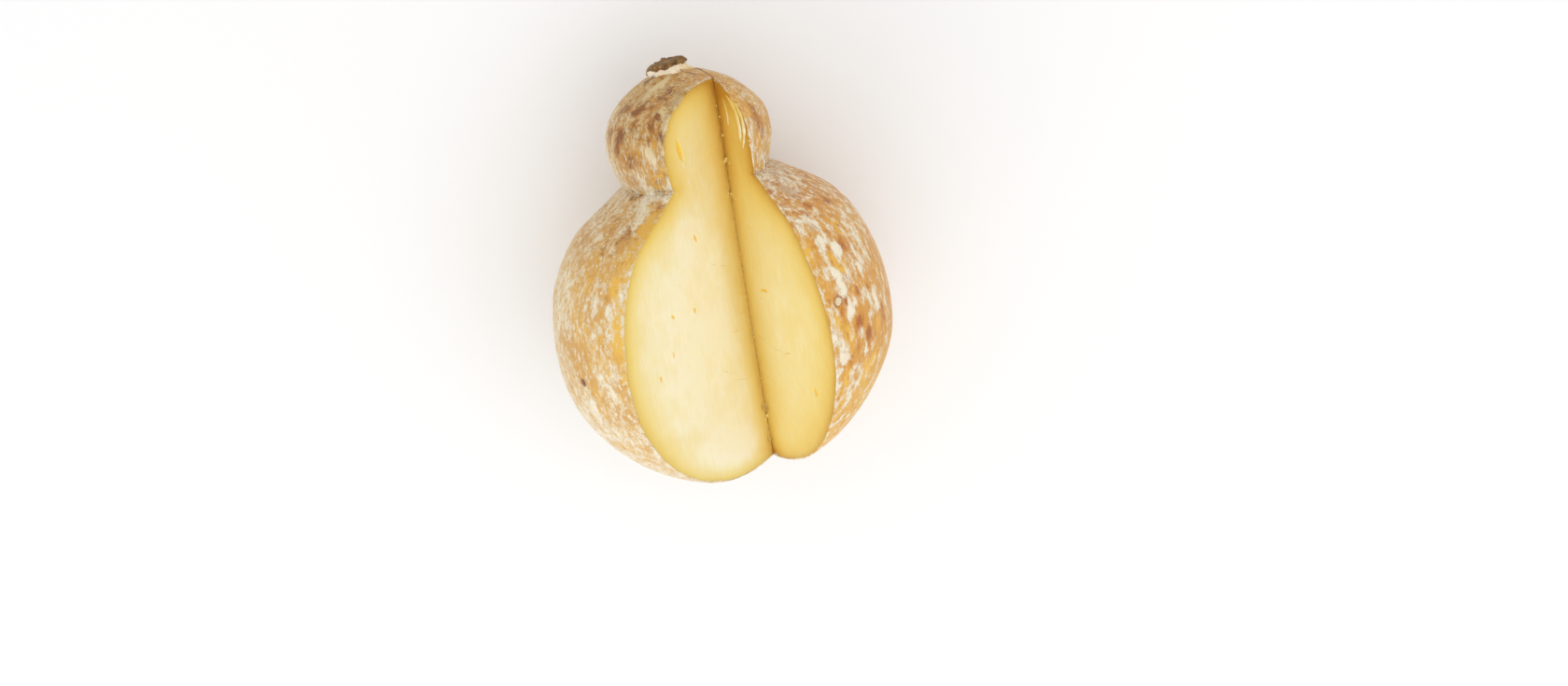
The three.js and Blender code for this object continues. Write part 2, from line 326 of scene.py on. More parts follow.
class Fan:
    """The skin as rows from the cut's top to its tail and columns round the cheese from face to face."""

    def __init__(self, heights, tilts, turns):
        self.turn = np.broadcast_to(turns, (len(heights), len(turns)))
        self.origin = edge_at(heights)[:, None, :]
        level, _, _ = face_axes(turns)
        tilts = tilts[:, None, None]
        self.direction = unit(np.cos(tilts) * level - np.sin(tilts) * INNER_EDGE)
        self.reach = self.find_skin()

    def at(self, reach):
        """Points at that reach along each ray."""
        return fan_point(self.turn, self.origin + self.direction * reach[..., None], reach)

    def column(self, column, reach):
        """Points at that reach along the rays of one column."""
        start = self.origin[:, 0] + self.direction[:, column] * reach[:, None]
        return fan_point(self.turn[:, column], start, reach)

    def find_skin(self):
        """Reach of the skin along each ray, by halving the stretch that holds it."""
        low, high = np.zeros(self.turn.shape), np.full(self.turn.shape, FARTHEST)
        for _ in range(HALVINGS):
            middle = (low + high) / 2.0
            outside = skin_gap(self.at(middle)) > 0.0
            low, high = np.where(outside, low, middle), np.where(outside, middle, high)
        return low


def grid_normals(points):
    """Unit normals of a grid of points, by the cross product of its two differences."""
    normals = unit(np.cross(np.gradient(points, axis=0), np.gradient(points, axis=1)))
    normals[0], normals[-1] = normals[1], normals[-2]
    return normals


def quads(index):
    """Two triangles for each cell of a grid of corner numbers, without those that have lost an edge.

    They face the side that the cross product of down and across points to.
    """
    a, b, c, d = index[:-1, :-1], index[:-1, 1:], index[1:, 1:], index[1:, :-1]
    halves = (np.stack(corners, axis=-1).reshape(-1, 3) for corners in ((a, d, c), (a, c, b)))
    return whole(np.concatenate(list(halves)))


def whole(faces):
    """The triangles whose three corners differ."""
    return faces[np.all(faces != np.roll(faces, 1, axis=1), axis=1)]


def closed_round(shape, flipped=False):
    """The corners used and the triangles of a grid that closes round, each end row a single corner."""
    index = np.arange(shape[0] * shape[1]).reshape(shape[:2])
    index[0], index[-1] = index[0, 0], index[-1, 0]
    index = np.concatenate([index, index[:, :1]], axis=1)
    used, faces = np.unique(quads(index[::-1] if flipped else index), return_inverse=True)
    return used, faces.reshape(-1, 3)


# How an attribute is kept, by how many numbers it has for each corner
MARK_KINDS = {1: ("FLOAT", "value"), 3: ("FLOAT_VECTOR", "vector"), 4: ("FLOAT_COLOR", "color")}


def make_piece(name, points, faces, marks, finish):
    """A mesh object from points in millimetres round the belly's middle, faces and named attributes."""
    mesh = bpy.data.meshes.new(name)
    places = (points + MIDDLE) * MM
    mesh.vertices.add(len(places))
    mesh.vertices.foreach_set("co", places.astype(np.float32).ravel())
    mesh.loops.add(faces.size)
    mesh.loops.foreach_set("vertex_index", faces.astype(np.int32).ravel())
    mesh.polygons.add(len(faces))
    mesh.polygons.foreach_set("loop_start", np.arange(0, faces.size, 3, dtype=np.int32))
    mesh.update(calc_edges=True)
    mesh.validate()
    mesh.shade_smooth()
    for mark, values in marks.items():
        kind, field = MARK_KINDS[values.size // len(values)]
        data = mesh.attributes.new(mark, kind, "POINT").data
        data.foreach_set(field, values.astype(np.float32).ravel())
    mesh.materials.append(finish)
    piece = bpy.data.objects.new(name, mesh)
    bpy.context.scene.collection.objects.link(piece)
    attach(piece, BODY)
    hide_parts(NODE)


def shell(outer, inner, keep, pole_first):
    """A closed shell from a fine outer grid and an inner grid of its kept columns, rows the same.

    One end row of both is a pole, a single corner. At the other end the two grids share the kept corners,
    and small fans close what lies between them. Their first and last columns are shared too, and corners
    that coincide are welded.
    Gives the corners, the triangles and, for each corner, the place in the outer grid that it came from.
    """
    rows, columns = outer.shape[:2]
    places = np.arange(rows * columns).reshape(rows, columns)
    index = places.copy()
    pole, foot = (0, rows - 1) if pole_first else (rows - 1, 0)
    index[pole] = index[pole, 0]
    wall = rows * columns + np.arange(rows * len(keep)).reshape(rows, len(keep))
    wall[pole] = index[pole, 0]
    wall[foot] = index[foot, keep]
    wall[:, 0], wall[:, -1] = index[:, 0], index[:, -1]
    fans = []
    for start, end in zip(keep, keep[1:]):
        middle = np.arange(start + 1, end)
        one, other = (middle + 1, middle) if pole_first else (middle, middle + 1)
        fans.append(index[foot][np.stack([np.full(len(middle), start), one, other], axis=-1)])
    faces = np.concatenate([quads(index), quads(wall[:, ::-1]), *fans])
    points = np.concatenate([outer.reshape(-1, 3), inner.reshape(-1, 3)])
    source = np.concatenate([places.ravel(), places[:, keep].ravel()])
    rounded = np.round(points, WELD_DIGITS)
    _, first, same = np.unique(rounded, axis=0, return_index=True, return_inverse=True)
    faces = whole(first[same.ravel()][faces])
    used, faces = np.unique(faces, return_inverse=True)
    return points[used], faces.reshape(-1, 3), source[used]


# The rolled rim: how far in from the skin and how proud of the face each step is, and how ragged
RIM_STEPS = ((0.15, 0.04, 0.3), (0.4, 0.07, 0.7), (0.68, -0.04, 1.0), (0.86, -0.7, 1.0))


def rim_strip(fan, column, side):
    """Columns that roll the skin's edge over onto a cut face, a little proud of it and ragged."""
    edge = fan.column(column, fan.reach[:, column])
    _, _, normal = face_axes(fan.turn[:, column])
    outward = normal if side == RIGHT else -normal
    along = (edge - CUT_TOP) @ INNER_EDGE
    pinch = smooth(along, 0.0, 3.0) * (1.0 - smooth(along, CUT_LENGTH - 4.0, CUT_LENGTH))
    in_head = (1.0 - smooth(along, 30.0, 46.0)) * (1.0 if side == LEFT else 0.4)
    chunks = np.clip(rough_noise(edge, 3.4, 31) + 0.1, 0.0, None) * (0.8 + 3.2 * in_head)
    ragged = np.clip(chunks + 0.4 * rough_noise(edge, 1.1, 32, 2), 0.0, 1.9)
    strips = []
    for inward, proud, share in RIM_STEPS:
        reach = fan.reach[:, column] - pinch * (inward + share * ragged)
        height = proud * pinch * (1.0 + 2.0 * ragged if proud > 0.0 else 1.0)
        strips.append(fan.column(column, np.maximum(reach, 0.0)) + outward * height[:, None])
    return np.stack(strips, axis=1)


def score_depth(points):
    """How deep the blade's mark runs beside the cut's top: a groove in the plane of the second face."""
    _, rise, normal = face_axes(np.array(RIGHT_TURN))
    beyond = -(points - CUT_TOP) @ rise
    aside = (points - CUT_TOP) @ normal
    in_head = (points - CUT_TOP) @ INNER_EDGE < 60.0
    return bell(aside, 0.0, 0.45) * smooth(beyond, -0.5, 1.0) * (1.0 - smooth(beyond, 15.0, 18.5)) * in_head


def skin_shell(fan, pole_first):
    """The rind as a closed shell: the skin, its two rolled rims, a foot turned in at the crease, a back wall.

    Gives the corners, the triangles and for each corner its place on the skin, its distance from the cut's
    rim, and whether the second face's rim is the nearer one.
    """
    skin = fan.at(fan.reach)
    skin = skin - SCORE_DEPTH * score_depth(skin)[..., None] * grid_normals(skin)
    points = np.concatenate([rim_strip(fan, 0, RIGHT)[:, ::-1], skin, rim_strip(fan, -1, LEFT)], axis=1)
    width = len(RIM_STEPS)
    foot = points[-1 if pole_first else 0]
    turned_in = (foot - FOOT_TURN_IN * unit(foot * (1.0, 0.0, 1.0)))[None]
    points = np.concatenate((points, turned_in) if pole_first else (turned_in, points))
    pole = 0 if pole_first else -1
    points[pole] = points[pole].mean(axis=0)
    points[..., 2] = np.maximum(points[..., 2], -MIDDLE[2])
    across = np.linalg.norm(np.diff(points, axis=1), axis=-1)
    walked = np.pad(np.cumsum(across, axis=1), ((0, 0), (1, 0)))
    from_right = walked - walked[:, width : width + 1]
    from_left = walked[:, -width - 1 : -width] - walked
    rim = np.minimum(from_right, from_left)
    keep = np.unique(np.append(np.arange(0, points.shape[1], BACK_STEP), points.shape[1] - 1))
    inner = points - RIND_DEPTH * grid_normals(points)
    inner[..., 2] = np.maximum(inner[..., 2], RIND_DEPTH - MIDDLE[2])
    corners, faces, source = shell(points, inner[:, keep], keep, pole_first)
    right_side = (from_right < from_left).ravel()
    return corners, faces, points.reshape(-1, 3)[source], rim.ravel()[source], right_side[source]


def patches(turn, height, spots):
    """Soft patches, longer along the cheese: bells at (height, turn in degrees, size in mm, strength)."""
    total = np.zeros(np.shape(turn))
    for at_height, at_turn, size, strength in spots:
        radius, _ = rolled_out(at_height)
        steepness = STEEPNESS[np.searchsorted(HEIGHTS, at_height)]
        aside = (turn - np.radians(at_turn)) * radius / size
        away = (height - at_height) * np.minimum(steepness, 2.5) / (1.5 * size)
        total += strength * np.exp(-(aside**2 + away**2))
    return total


# Patches of the rind: height, turn in degrees, size in mm, strength
BROWN_SPOTS = (
    (61.5, -27.5, 2.0, 0.4), (13.5, 37.8, 1.0, 0.6), (11.9, 38.9, 0.8, 0.6), (10.6, 46.0, 1.2, 0.7),
    (7.6, 42.8, 1.6, 0.8), (64.2, -56.4, 1.2, 1.0), (53.8, -41.2, 2.5, 0.7), (47.3, 69.6, 1.8, 1.2),
    (49.4, 54.4, 1.2, 0.8), (53.1, 54.6, 1.2, 0.8), (31.6, 55.6, 2.2, 1.2), (19.4, 49.9, 1.2, 0.8),
    (11.0, 52.9, 1.6, 1.2), (11.0, 59.6, 1.2, 0.9), (9.5, 45.8, 1.4, 0.9), (-1.3, 49.9, 2.6, 1.2),
    (-8.5, 55.0, 2.6, 1.2), (-1.6, 66.4, 1.6, 0.8), (29.9, -42.4, 2.5, 0.5), (91.5, -54.4, 2.4, 1.2),
    (101.0, -45.3, 2.0, 1.0), (102.1, -39.4, 1.8, 0.9), (99.1, -22.6, 1.4, 0.9), (95.0, -26.4, 1.8, 0.9),
    (90.5, -18.5, 1.5, 1.1), (85.5, -58.9, 2.0, 1.0), (94.6, -41.4, 2.2, 0.6), (79.8, -45.8, 2.4, 0.8),
    (101.7, -63.0, 2.4, 0.6), (105.9, -15.3, 3.5, 0.5), (88.0, 62.0, 3.5, 0.7), (92.0, -75.0, 4.0, 0.6),
    (46.0, 105.0, 3.0, 0.8),
)
GOLD_SPOTS = (
    (61.7, -26.5, 1.8, 1.2), (59.9, -32.0, 2.4, 1.2), (54.4, -31.8, 2.6, 1.3), (35.0, -53.7, 5.0, 0.5),
    (34.7, -39.5, 2.6, 1.1), (27.8, -37.1, 2.4, 1.1), (2.6, -46.3, 1.3, 1.2), (13.0, -56.9, 4.0, 0.5),
    (22.9, -60.6, 4.0, 0.5), (-2.5, -43.4, 1.6, 0.7), (-11.8, -51.2, 2.8, 0.6), (-14.4, -42.3, 2.0, 0.7),
    (-4.4, -37.6, 2.0, 0.6), (18.4, -38.3, 3.0, 1.0), (12.9, -38.1, 2.6, 1.0), (-39.9, -54.3, 1.4, 1.1),
    (-40.7, -51.0, 2.0, 0.9), (26.4, 47.1, 4.0, 0.9), (22.2, 50.8, 2.6, 1.0), (38.2, 59.8, 4.0, 0.8),
    (13.0, 70.6, 2.5, 0.7), (34.2, 37.2, 2.5, 1.0), (-5.7, 44.4, 4.0, 0.9), (2.5, 39.9, 2.3, 0.9),
    (-23.7, 55.3, 3.6, 0.8), (-23.9, 44.1, 2.0, 1.3), (-6.9, 61.8, 3.0, 0.8), (-19.6, 59.5, 3.0, 0.7),
    (88.2, -25.2, 2.0, 0.9), (76.7, -21.9, 2.2, 1.3), (70.8, -27.8, 2.8, 1.2),
)
PALE_SPOTS = (
    (64.9, -30.0, 1.3, 1.3), (64.6, -35.0, 1.4, 1.3), (64.3, -40.5, 1.4, 1.2), (64.2, -24.0, 1.4, 1.5),
    (107.6, -29.7, 1.3, 1.5), (107.1, -40.3, 1.3, 1.4), (107.6, -12.0, 1.0, 0.8), (74.0, -43.9, 2.0, 0.9),
    (58.9, -39.5, 5.0, 0.9), (55.3, -39.8, 2.6, 0.9), (53.6, -47.5, 2.6, 1.1), (51.3, -60.8, 1.8, 0.9),
    (48.5, -46.9, 1.6, 0.9), (33.6, -49.5, 2.6, 0.7), (26.3, -48.5, 2.6, 1.1), (26.2, -53.1, 1.6, 1.0),
    (24.9, -41.5, 2.2, 1.2), (39.8, -44.4, 1.8, 0.7), (32.3, -36.3, 2.2, 0.9), (-10.0, -43.4, 4.0, 0.9),
    (-1.3, -39.6, 3.5, 0.8), (-19.1, -57.8, 3.6, 0.8), (16.3, -41.5, 2.6, 0.8), (-3.8, -47.7, 2.5, 0.7),
    (36.6, 46.0, 3.0, 1.4), (29.2, 51.2, 3.0, 1.4), (31.5, 50.3, 2.0, 1.2), (27.6, 60.8, 2.2, 1.3),
    (23.2, 65.7, 2.2, 1.2), (18.8, 58.3, 2.8, 1.4), (6.5, 61.6, 2.0, 1.2), (1.0, 63.0, 2.0, 1.2),
    (17.6, 46.5, 4.6, 1.2), (23.4, 43.6, 3.0, 1.0), (5.5, 46.9, 3.0, 1.0), (-5.0, 38.4, 3.2, 1.4),
    (-13.3, 42.1, 2.8, 1.3), (-7.1, 49.7, 1.8, 1.2), (-14.2, 53.5, 2.0, 1.1), (-19.7, 39.8, 3.0, 0.9),
    (-28.7, 46.5, 4.5, 1.0), (-27.9, 52.3, 2.5, 0.9), (83.3, -29.2, 2.6, 1.2), (76.9, -41.4, 2.2, 0.8),
    (101.0, -16.6, 2.0, 1.1), (96.1, -14.5, 2.0, 1.1), (71.1, -40.5, 2.2, 0.9), (105.6, -45.8, 2.2, 0.8),
)
GREY_SPOTS = (
    (55.8, 55.2, 4.0, 0.8), (41.8, 46.8, 3.0, 0.7), (102.8, -4.8, 2.3, 1.0), (104.7, -53.4, 2.6, 0.8),
)
DARK_SPOTS = (
    (66.6, -57.0, 0.8, 1.0), (63.9, -52.7, 0.9, 1.1), (64.9, -49.0, 0.9, 1.1), (64.5, -66.0, 0.8, 0.8),
    (66.4, -20.5, 0.5, 0.8), (107.5, -86.0, 1.0, 1.3), (107.2, -80.0, 0.8, 1.1), (106.9, -74.0, 0.6, 0.9),
    (108.2, 60.0, 0.6, 1.1), (108.0, 110.0, 0.6, 1.1),
)


def cut_place(points):
    """Where points lie from the cut's top: along its inner edge and the turn about it in degrees."""
    apart = points - CUT_TOP
    along = apart @ INNER_EDGE
    level = apart - along[:, None] * INNER_EDGE
    return along, np.degrees(np.arctan2(level[:, 0], level[:, 2]))


def skin_marks(points, rim, right_side):
    """What the rind's finish reads.

    pull: the place on the skin in cm, rolled out along the cheese, so that flakes and streaks run with it.
    zone: how whitish, how boldly flaked, how brown and how streaked. spot: pale, golden, brown, grey.
    bare: scraped skin. scored: painted shade in the blade's groove. dirt: dark spots, and painted shade along
    the crease. old: how dark and flat the skin is, partly as older skin and partly as painted shade on the
    head, the upper left shoulder and round the knob's foot.
    """
    turn, level, _ = skin_place(points)
    degrees = np.degrees(turn)
    radius, walked = rolled_out(level)
    pull = np.stack([radius * np.sin(turn), radius * np.cos(turn), walked], axis=-1) / 10.0

    def near_crease(length):
        """1 in the crease, less with the distance from it."""
        return np.exp(-np.abs(walked) / length)

    # The zones of the cheese, 1 inside and 0 outside
    off_axis = smooth(radius, 5.0, 34.0)
    front = 1.0 - smooth(np.abs(degrees), 120.0, 170.0)
    right = 0.4 + (smooth(degrees, -10.0, 30.0) * front - 0.4) * off_axis
    left = 1.0 - right
    far_left = smooth(-degrees, 50.0, 82.0) * front * off_axis
    far_right = smooth(degrees, 50.0, 80.0) * front * off_axis
    in_head = smooth(level, 64.0, 69.0)
    shoulder = smooth(level, 30.0, 58.0) * (1.0 - in_head)
    low = smooth(-level, 0.0, 40.0)
    low_right = right * smooth(-level, 8.0, 40.0) * (degrees > 0.0)
    near_neck = near_crease(14.0)
    under_neck = right * (1.0 - in_head) * near_crease(18.0)
    from_cut = np.clip(rim, 0.0, None)
    fringe_on_left = smooth(level, -20.0, 12.0) * (1.0 - smooth(level, 56.0, 63.0)) * (degrees < 0.0)
    fringe_on_right = smooth(level, -12.0, 12.0) * (1.0 - smooth(level, 40.0, 50.0)) * 0.5 * (degrees > 0.0)
    fringe = np.exp(-((from_cut / 8.0) ** 2)) * (fringe_on_left + fringe_on_right)

    haze = 0.5 + 0.12 * low - 0.13 * shoulder * left - 0.02 * in_head + 0.08 * rough_noise(points, 20.0, 41)
    haze += 0.06 * near_neck + (0.16 + 0.12 * in_head) * far_left - 0.1 * right * bell(level, -14.0, 16.0)
    haze += 0.14 * left * near_crease(7.0) - 0.05 * right - 0.07 * low_right + 0.1 * under_neck
    haze += 0.03 * right * in_head
    bold = np.clip(right * (1.0 - 0.65 * in_head) - 0.5 * under_neck - 0.3 * far_right, 0.0, 1.0)
    brown = 0.1 + 0.1 * right + in_head * (0.34 - 0.26 * right) + 0.2 * shoulder - 0.1 * low
    brown += 0.12 * rough_noise(points, 14.0, 43) + 0.24 * under_neck + 0.1 * shoulder * left
    brown -= 0.25 * fringe + 0.22 * left * near_crease(7.0)
    streaked = 1.5 * near_neck + 0.15 + 0.5 * in_head + 0.5 * under_neck
    zone = np.stack([haze, bold, brown, np.minimum(streaked, 1.7)], axis=-1)

    lists = (PALE_SPOTS, GOLD_SPOTS, BROWN_SPOTS, GREY_SPOTS)
    spot = np.stack([patches(turn, level, spots) for spots in lists], axis=-1)
    spot[:, 0] += 0.8 * np.exp(-from_cut / 0.9) * (0.5 + 0.5 * in_head)
    spot[:, 1] += 0.7 * fringe + 0.6 * low_right
    spot[:, 3] += 0.5 * near_neck * left + 0.55 * under_neck

    # Painted shade along the crease, broken by noise and left out over the fold, and the listed dark spots in
    # the crease and on the crown.
    off_fold = 1.0 - bell(degrees, -38.0, 20.0)
    dark_spots_and_crease_shade = 0.4 * bell(walked, 0.0, 1.0) * smooth(rough_noise(points, 6.0, 45), 0.0, 0.7) * off_fold
    dark_spots_and_crease_shade += patches(turn, level, DARK_SPOTS)
    # Darker, flatter skin: partly older skin, partly painted shade on the head's left and the upper left
    # shoulder, which lie away from the light, and on the crown round the knob's foot.
    old_and_shade = in_head * (0.88 - 0.75 * right - 0.4 * far_left) * (0.35 + 0.65 * smooth(level, 72.0, 90.0))
    old_and_shade += 0.42 * shoulder * left * (1.0 - near_crease(10.0))
    old_and_shade += 0.62 * smooth(level, 98.0, 104.0) * (1.0 - smooth(degrees, -5.0, 30.0))

    along, about = cut_place(points)
    bare = smooth(along, 2.0, 5.0) * (1.0 - smooth(along, 13.4, 15.5)) * (1.0 - smooth(about, 38.0, 46.0))
    bare = bare * smooth(about, 5.0, 12.0) * right_side
    return {
        "pull": pull,
        "zone": np.clip(zone, 0.0, 2.0),
        "spot": np.clip(spot, 0.0, 2.0),
        "bare": bare,
        "score_shade": score_depth(points),
        "dark_spots_and_crease_shade": np.clip(dark_spots_and_crease_shade, 0.0, 1.5),
        "old_and_shade": np.clip(old_and_shade, 0.0, 1.3),
    }


PASTE_STEPS, WALL_COLUMNS = 120, 27
WALL_BOTTOM = 0.8  # how far the plain wall under the rind keeps off the floor

# Slits of the paste: face, place along and out, length, width, turn in degrees, depth
SLITS = (
    (LEFT, 22.9, 28.8, 10.4, 2.9, -12.0, 0.9), (LEFT, 63.4, 27.7, 3.8, 1.3, -11.0, 0.5),
    (LEFT, 91.6, 49.8, 3.2, 1.1, -40.0, 0.3), (LEFT, 94.0, 35.6, 2.8, 1.2, -6.0, 0.3),
    (LEFT, 114.7, 64.4, 3.2, 1.4, -3.0, 0.5), (LEFT, 107.8, 53.7, 2.8, 0.9, 3.0, 0.2),
    (RIGHT, 94.2, 17.6, 7.2, 1.3, 95.0, 0.7), (RIGHT, 133.6, 50.3, 4.2, 2.4, 20.0, 0.8),
)
# Hair cracks and scratches, and pale smears that the blade dragged on: face, along, out, length, width, turn
CRACKS = (
    (LEFT, 78.7, 19.3, 4.0, 0.6, -60.0), (LEFT, 81.9, 12.9, 5.7, 0.55, -62.0),
    (LEFT, 128.9, 21.9, 4.8, 0.55, -56.0), (LEFT, 131.9, 16.2, 9.0, 0.45, -65.0),
    (LEFT, 107.1, 6.0, 9.5, 0.4, -90.0), (LEFT, 136.5, 12.7, 15.8, 0.35, -73.0),
    (RIGHT, 98.7, 14.6, 9.0, 0.4, 102.0), (RIGHT, 121.3, 20.7, 15.1, 0.5, 95.0),
    (RIGHT, 119.3, 7.7, 10.9, 0.5, 89.0), (RIGHT, 120.7, 30.6, 10.0, 0.9, 110.0),
    (RIGHT, 138.6, 7.9, 15.9, 0.5, 80.0), (RIGHT, 143.4, 5.0, 9.2, 0.5, 57.0),
    (LEFT, 114.0, 10.5, 11.0, 0.4, -80.0), (RIGHT, 66.0, 12.0, 9.0, 0.35, 84.0),
)
SMEARS = (
    (LEFT, 29.9, 27.9, 5.6, 1.3, -20.0), (LEFT, 37.5, 26.2, 12.5, 0.9, -14.0),
    (LEFT, 51.7, 23.6, 8.5, 0.8, -7.0), (LEFT, 27.2, 22.3, 11.0, 0.8, 10.0),
    (LEFT, 66.8, 54.0, 3.6, 1.3, -119.0), (RIGHT, 54.3, 1.9, 7.6, 0.9, 82.0),
    (LEFT, 140.0, 50.8, 7.5, 1.6, -75.0), (LEFT, 149.3, 37.9, 5.0, 1.3, -101.0),
    (LEFT, 60.0, 33.0, 16.0, 0.7, -9.0),
)
# Ridges and holes beside the inner edge: place along and out, spread along and out, height
EDGE_LUMPS = (
    (37.1, 1.2, 1.0, 1.4, 0.5), (52.7, 1.5, 1.2, 1.6, 0.45), (154.8, 0.9, 1.3, 1.0, -1.2),
    (170.2, 0.8, 1.2, 1.0, -0.9),
)


def slit_depth(face, along, out):
    """How deep each point lies in a slit, in mm."""
    depth = np.zeros(np.shape(along))
    for its_face, at_along, at_out, length, width, turn, deep in SLITS:
        if its_face == face:
            angle = np.radians(turn)
            x, y = along - at_along, out - at_out
            lengthwise = (x * np.cos(angle) + y * np.sin(angle)) / (length / 2.0)
            crosswise = (y * np.cos(angle) - x * np.sin(angle)) / (width / 2.0)
            depth += deep * np.sqrt(np.clip(1.0 - lengthwise**2 - crosswise**2, 0.0, None))
    return depth


def face_detail(face, along, out):
    """Small relief of a cut face: slits, faint waves of the blade and a crumbly strip at the inner edge."""
    place = np.stack([along, out, np.full(np.shape(along), 50.0 * face)], axis=-1)
    drag = 0.035 * noise(place / (3.0, 11.0, 1.0), 1.0, 51) + 0.03 * noise(place, 5.0, 52)
    crumbly = np.exp(-out / 1.4) * smooth(out, 0.0, 0.5)
    rough = crumbly * (0.28 * noise(place, 1.5, 53) + 0.3 * noise(place / (2.6, 1.0, 1.0), 1.0, 54))
    lumps = sum(
        height * bell(along, at_along, long) * bell(out, at_out, wide)
        for at_along, at_out, long, wide, height in EDGE_LUMPS
    )
    return (drag + rough + lumps - slit_depth(face, along, out)) * smooth(out, 0.0, 0.9)


def paste_shell():
    """The paste: both faces as one fine grid across the inner edge, and a coarse back wall under the rind."""
    heights, tilts = rows_down(*PASTE_ROWS)
    fan = Fan(heights, tilts, turns_round(WALL_COLUMNS))
    under = np.maximum(fan.reach - SOFT_WALL, 0.0)
    even = np.linspace(0.0, CUT_LENGTH, len(heights))
    step = np.linspace(0.0, 1.0, PASTE_STEPS + 1)
    sheets, places = [], []
    for face, column in ((LEFT, -1), (RIGHT, 0)):
        turn = fan.turn[0, column]
        _, rise, normal = face_axes(turn)
        border = fan.origin[:, 0] + fan.direction[:, column] * under[:, column, None] - CUT_TOP
        border_along, border_out = border @ INNER_EDGE, border @ rise
        start = np.maximum.accumulate(0.5 * even + 0.5 * np.clip(border_along, 0.0, CUT_LENGTH))
        along = start[:, None] + (border_along - start)[:, None] * step
        out = border_out[:, None] * step
        flat = CUT_TOP + along[..., None] * INNER_EDGE + out[..., None] * rise
        sheet = fan_point(np.broadcast_to(turn, along.shape), flat, under[:, column, None] * step)
        toward = normal if face == RIGHT else -normal
        at_border = 1.0 - smooth(step, 0.985, 1.0)
        sheets.append(sheet + toward * (face_detail(face, along, out) * at_border)[..., None])
        places.append(np.stack([along, out, np.full(along.shape, float(face))], axis=-1))
    back = fan.at(under)[:, 1:-1]
    back[..., 2] = np.maximum(back[..., 2], WALL_BOTTOM - MIDDLE[2])
    nowhere = np.broadcast_to((0.0, 60.0, 0.5), back.shape)
    points = np.concatenate([sheets[0][:, ::-1], sheets[1][:, 1:], back], axis=1)
    place = np.concatenate([places[0][:, ::-1], places[1][:, 1:], nowhere], axis=1)
    points[0], points[-1] = points[0].mean(axis=0), points[-1].mean(axis=0)
    used, faces = closed_round(points.shape)
    return points.reshape(-1, 3)[used], faces, place.reshape(-1, 3)[used]


def below_skin(points):
    """How deep points lie below the skin: the least distance to the outline, with the relief undone."""
    turn, level, distance = skin_place(points)
    distance = distance - skin_radius(turn, level) + outline(level)
    depth = np.full(np.shape(level), 90.0)
    for height, radius in zip(HEIGHTS[::2], RADII[::2]):
        depth = np.minimum(depth, np.hypot(level - height, distance - radius))
    return depth


def paste_marks(points, place):
    """What the paste's finish reads: its place on the face in units of 100 mm, and its tone: riper paste,
    painted shade beside the inner edge and over the second face, and paler towards the tail end.
    """
    along, out, face = place[:, 0], place[:, 1], place[:, 2]
    right = smooth(face, 0.9, 1.0)
    depth = below_skin(points)
    in_head = 1.0 - smooth(along, 22.0, 66.0)
    ripe_and_shade = 0.38 * np.exp(-depth / 3.2) + 0.3 * np.exp(-depth / 11.0) + 0.12 * in_head * np.exp(-depth / 9.0)
    # Painted shade beside the inner edge, in the hollow where the two faces meet, stronger in the head.
    ripe_and_shade += (0.24 + 0.22 * in_head) * np.exp(-out / (5.0 + 2.0 * in_head)) + 0.25 * np.exp(-out / 9.0)
    # Painted shade over the second face, which lies away from the light, stronger near the rind; paler
    # towards the tail end.
    ripe_and_shade += right * (0.1 + 0.04 * in_head + 0.22 * np.exp(-depth / 12.0)) - 0.17 * smooth(along, 148.0, 172.0)
    ripe_and_shade += 0.03 * noise(points, 9.0, 61) + 0.02 * noise(points, 3.0, 62)
    return {"sheet": place / 100.0, "ripe_and_shade": ripe_and_shade}


KNOB_RINGS, SIDE_COLUMNS, CAP_COLUMNS = 70, 220, 200
CAP_SINK = 0.72  # how far the cap is pressed down
# The knob: radius and height of its side and cap from bottom to top
KNOB_SIDE = (
    (0.0, 1.0), (9.0, 1.0), (12.8, 1.4), (12.0, 2.6), (10.4, 4.6), (9.3, 6.4), (8.9, 7.8), (9.1, 8.8),
    (8.6, 9.6), (0.0, 9.6),
)
KNOB_CAP = (
    (0.0, 8.5), (8.2, 8.4), (9.4, 8.4), (10.0, 9.1), (9.8, 10.0), (9.0, 10.9), (7.2, 11.4), (4.0, 11.5),
    (0.0, 11.4),
)
# Pinched holes of the knob's side, and where its foot spreads over the crown: turn, height, size
HOLES = ((306.0, 6.3, 1.0), (318.0, 6.2, 1.5), (300.0, 4.9, 0.8), (40.0, 5.2, 0.7))
FOOT_SPREADS = ((314.0, 6.0, 1.7), (80.0, 4.4, 1.5))


def soft_line(places, count, rounds):
    """Evenly spaced points on a line through places, its corners softened by averaging neighbours 1:2:1."""
    places = np.array(places)
    walked = np.append(0.0, np.cumsum(np.linalg.norm(np.diff(places, axis=0), axis=1)))
    even = np.linspace(0.0, walked[-1], count)
    line = np.stack([np.interp(even, walked, places[:, i]) for i in (0, 1)], axis=-1)
    for _ in range(rounds):
        line[1:-1] = (line[:-2] + 2.0 * line[1:-1] + line[2:]) / 4.0
    return line


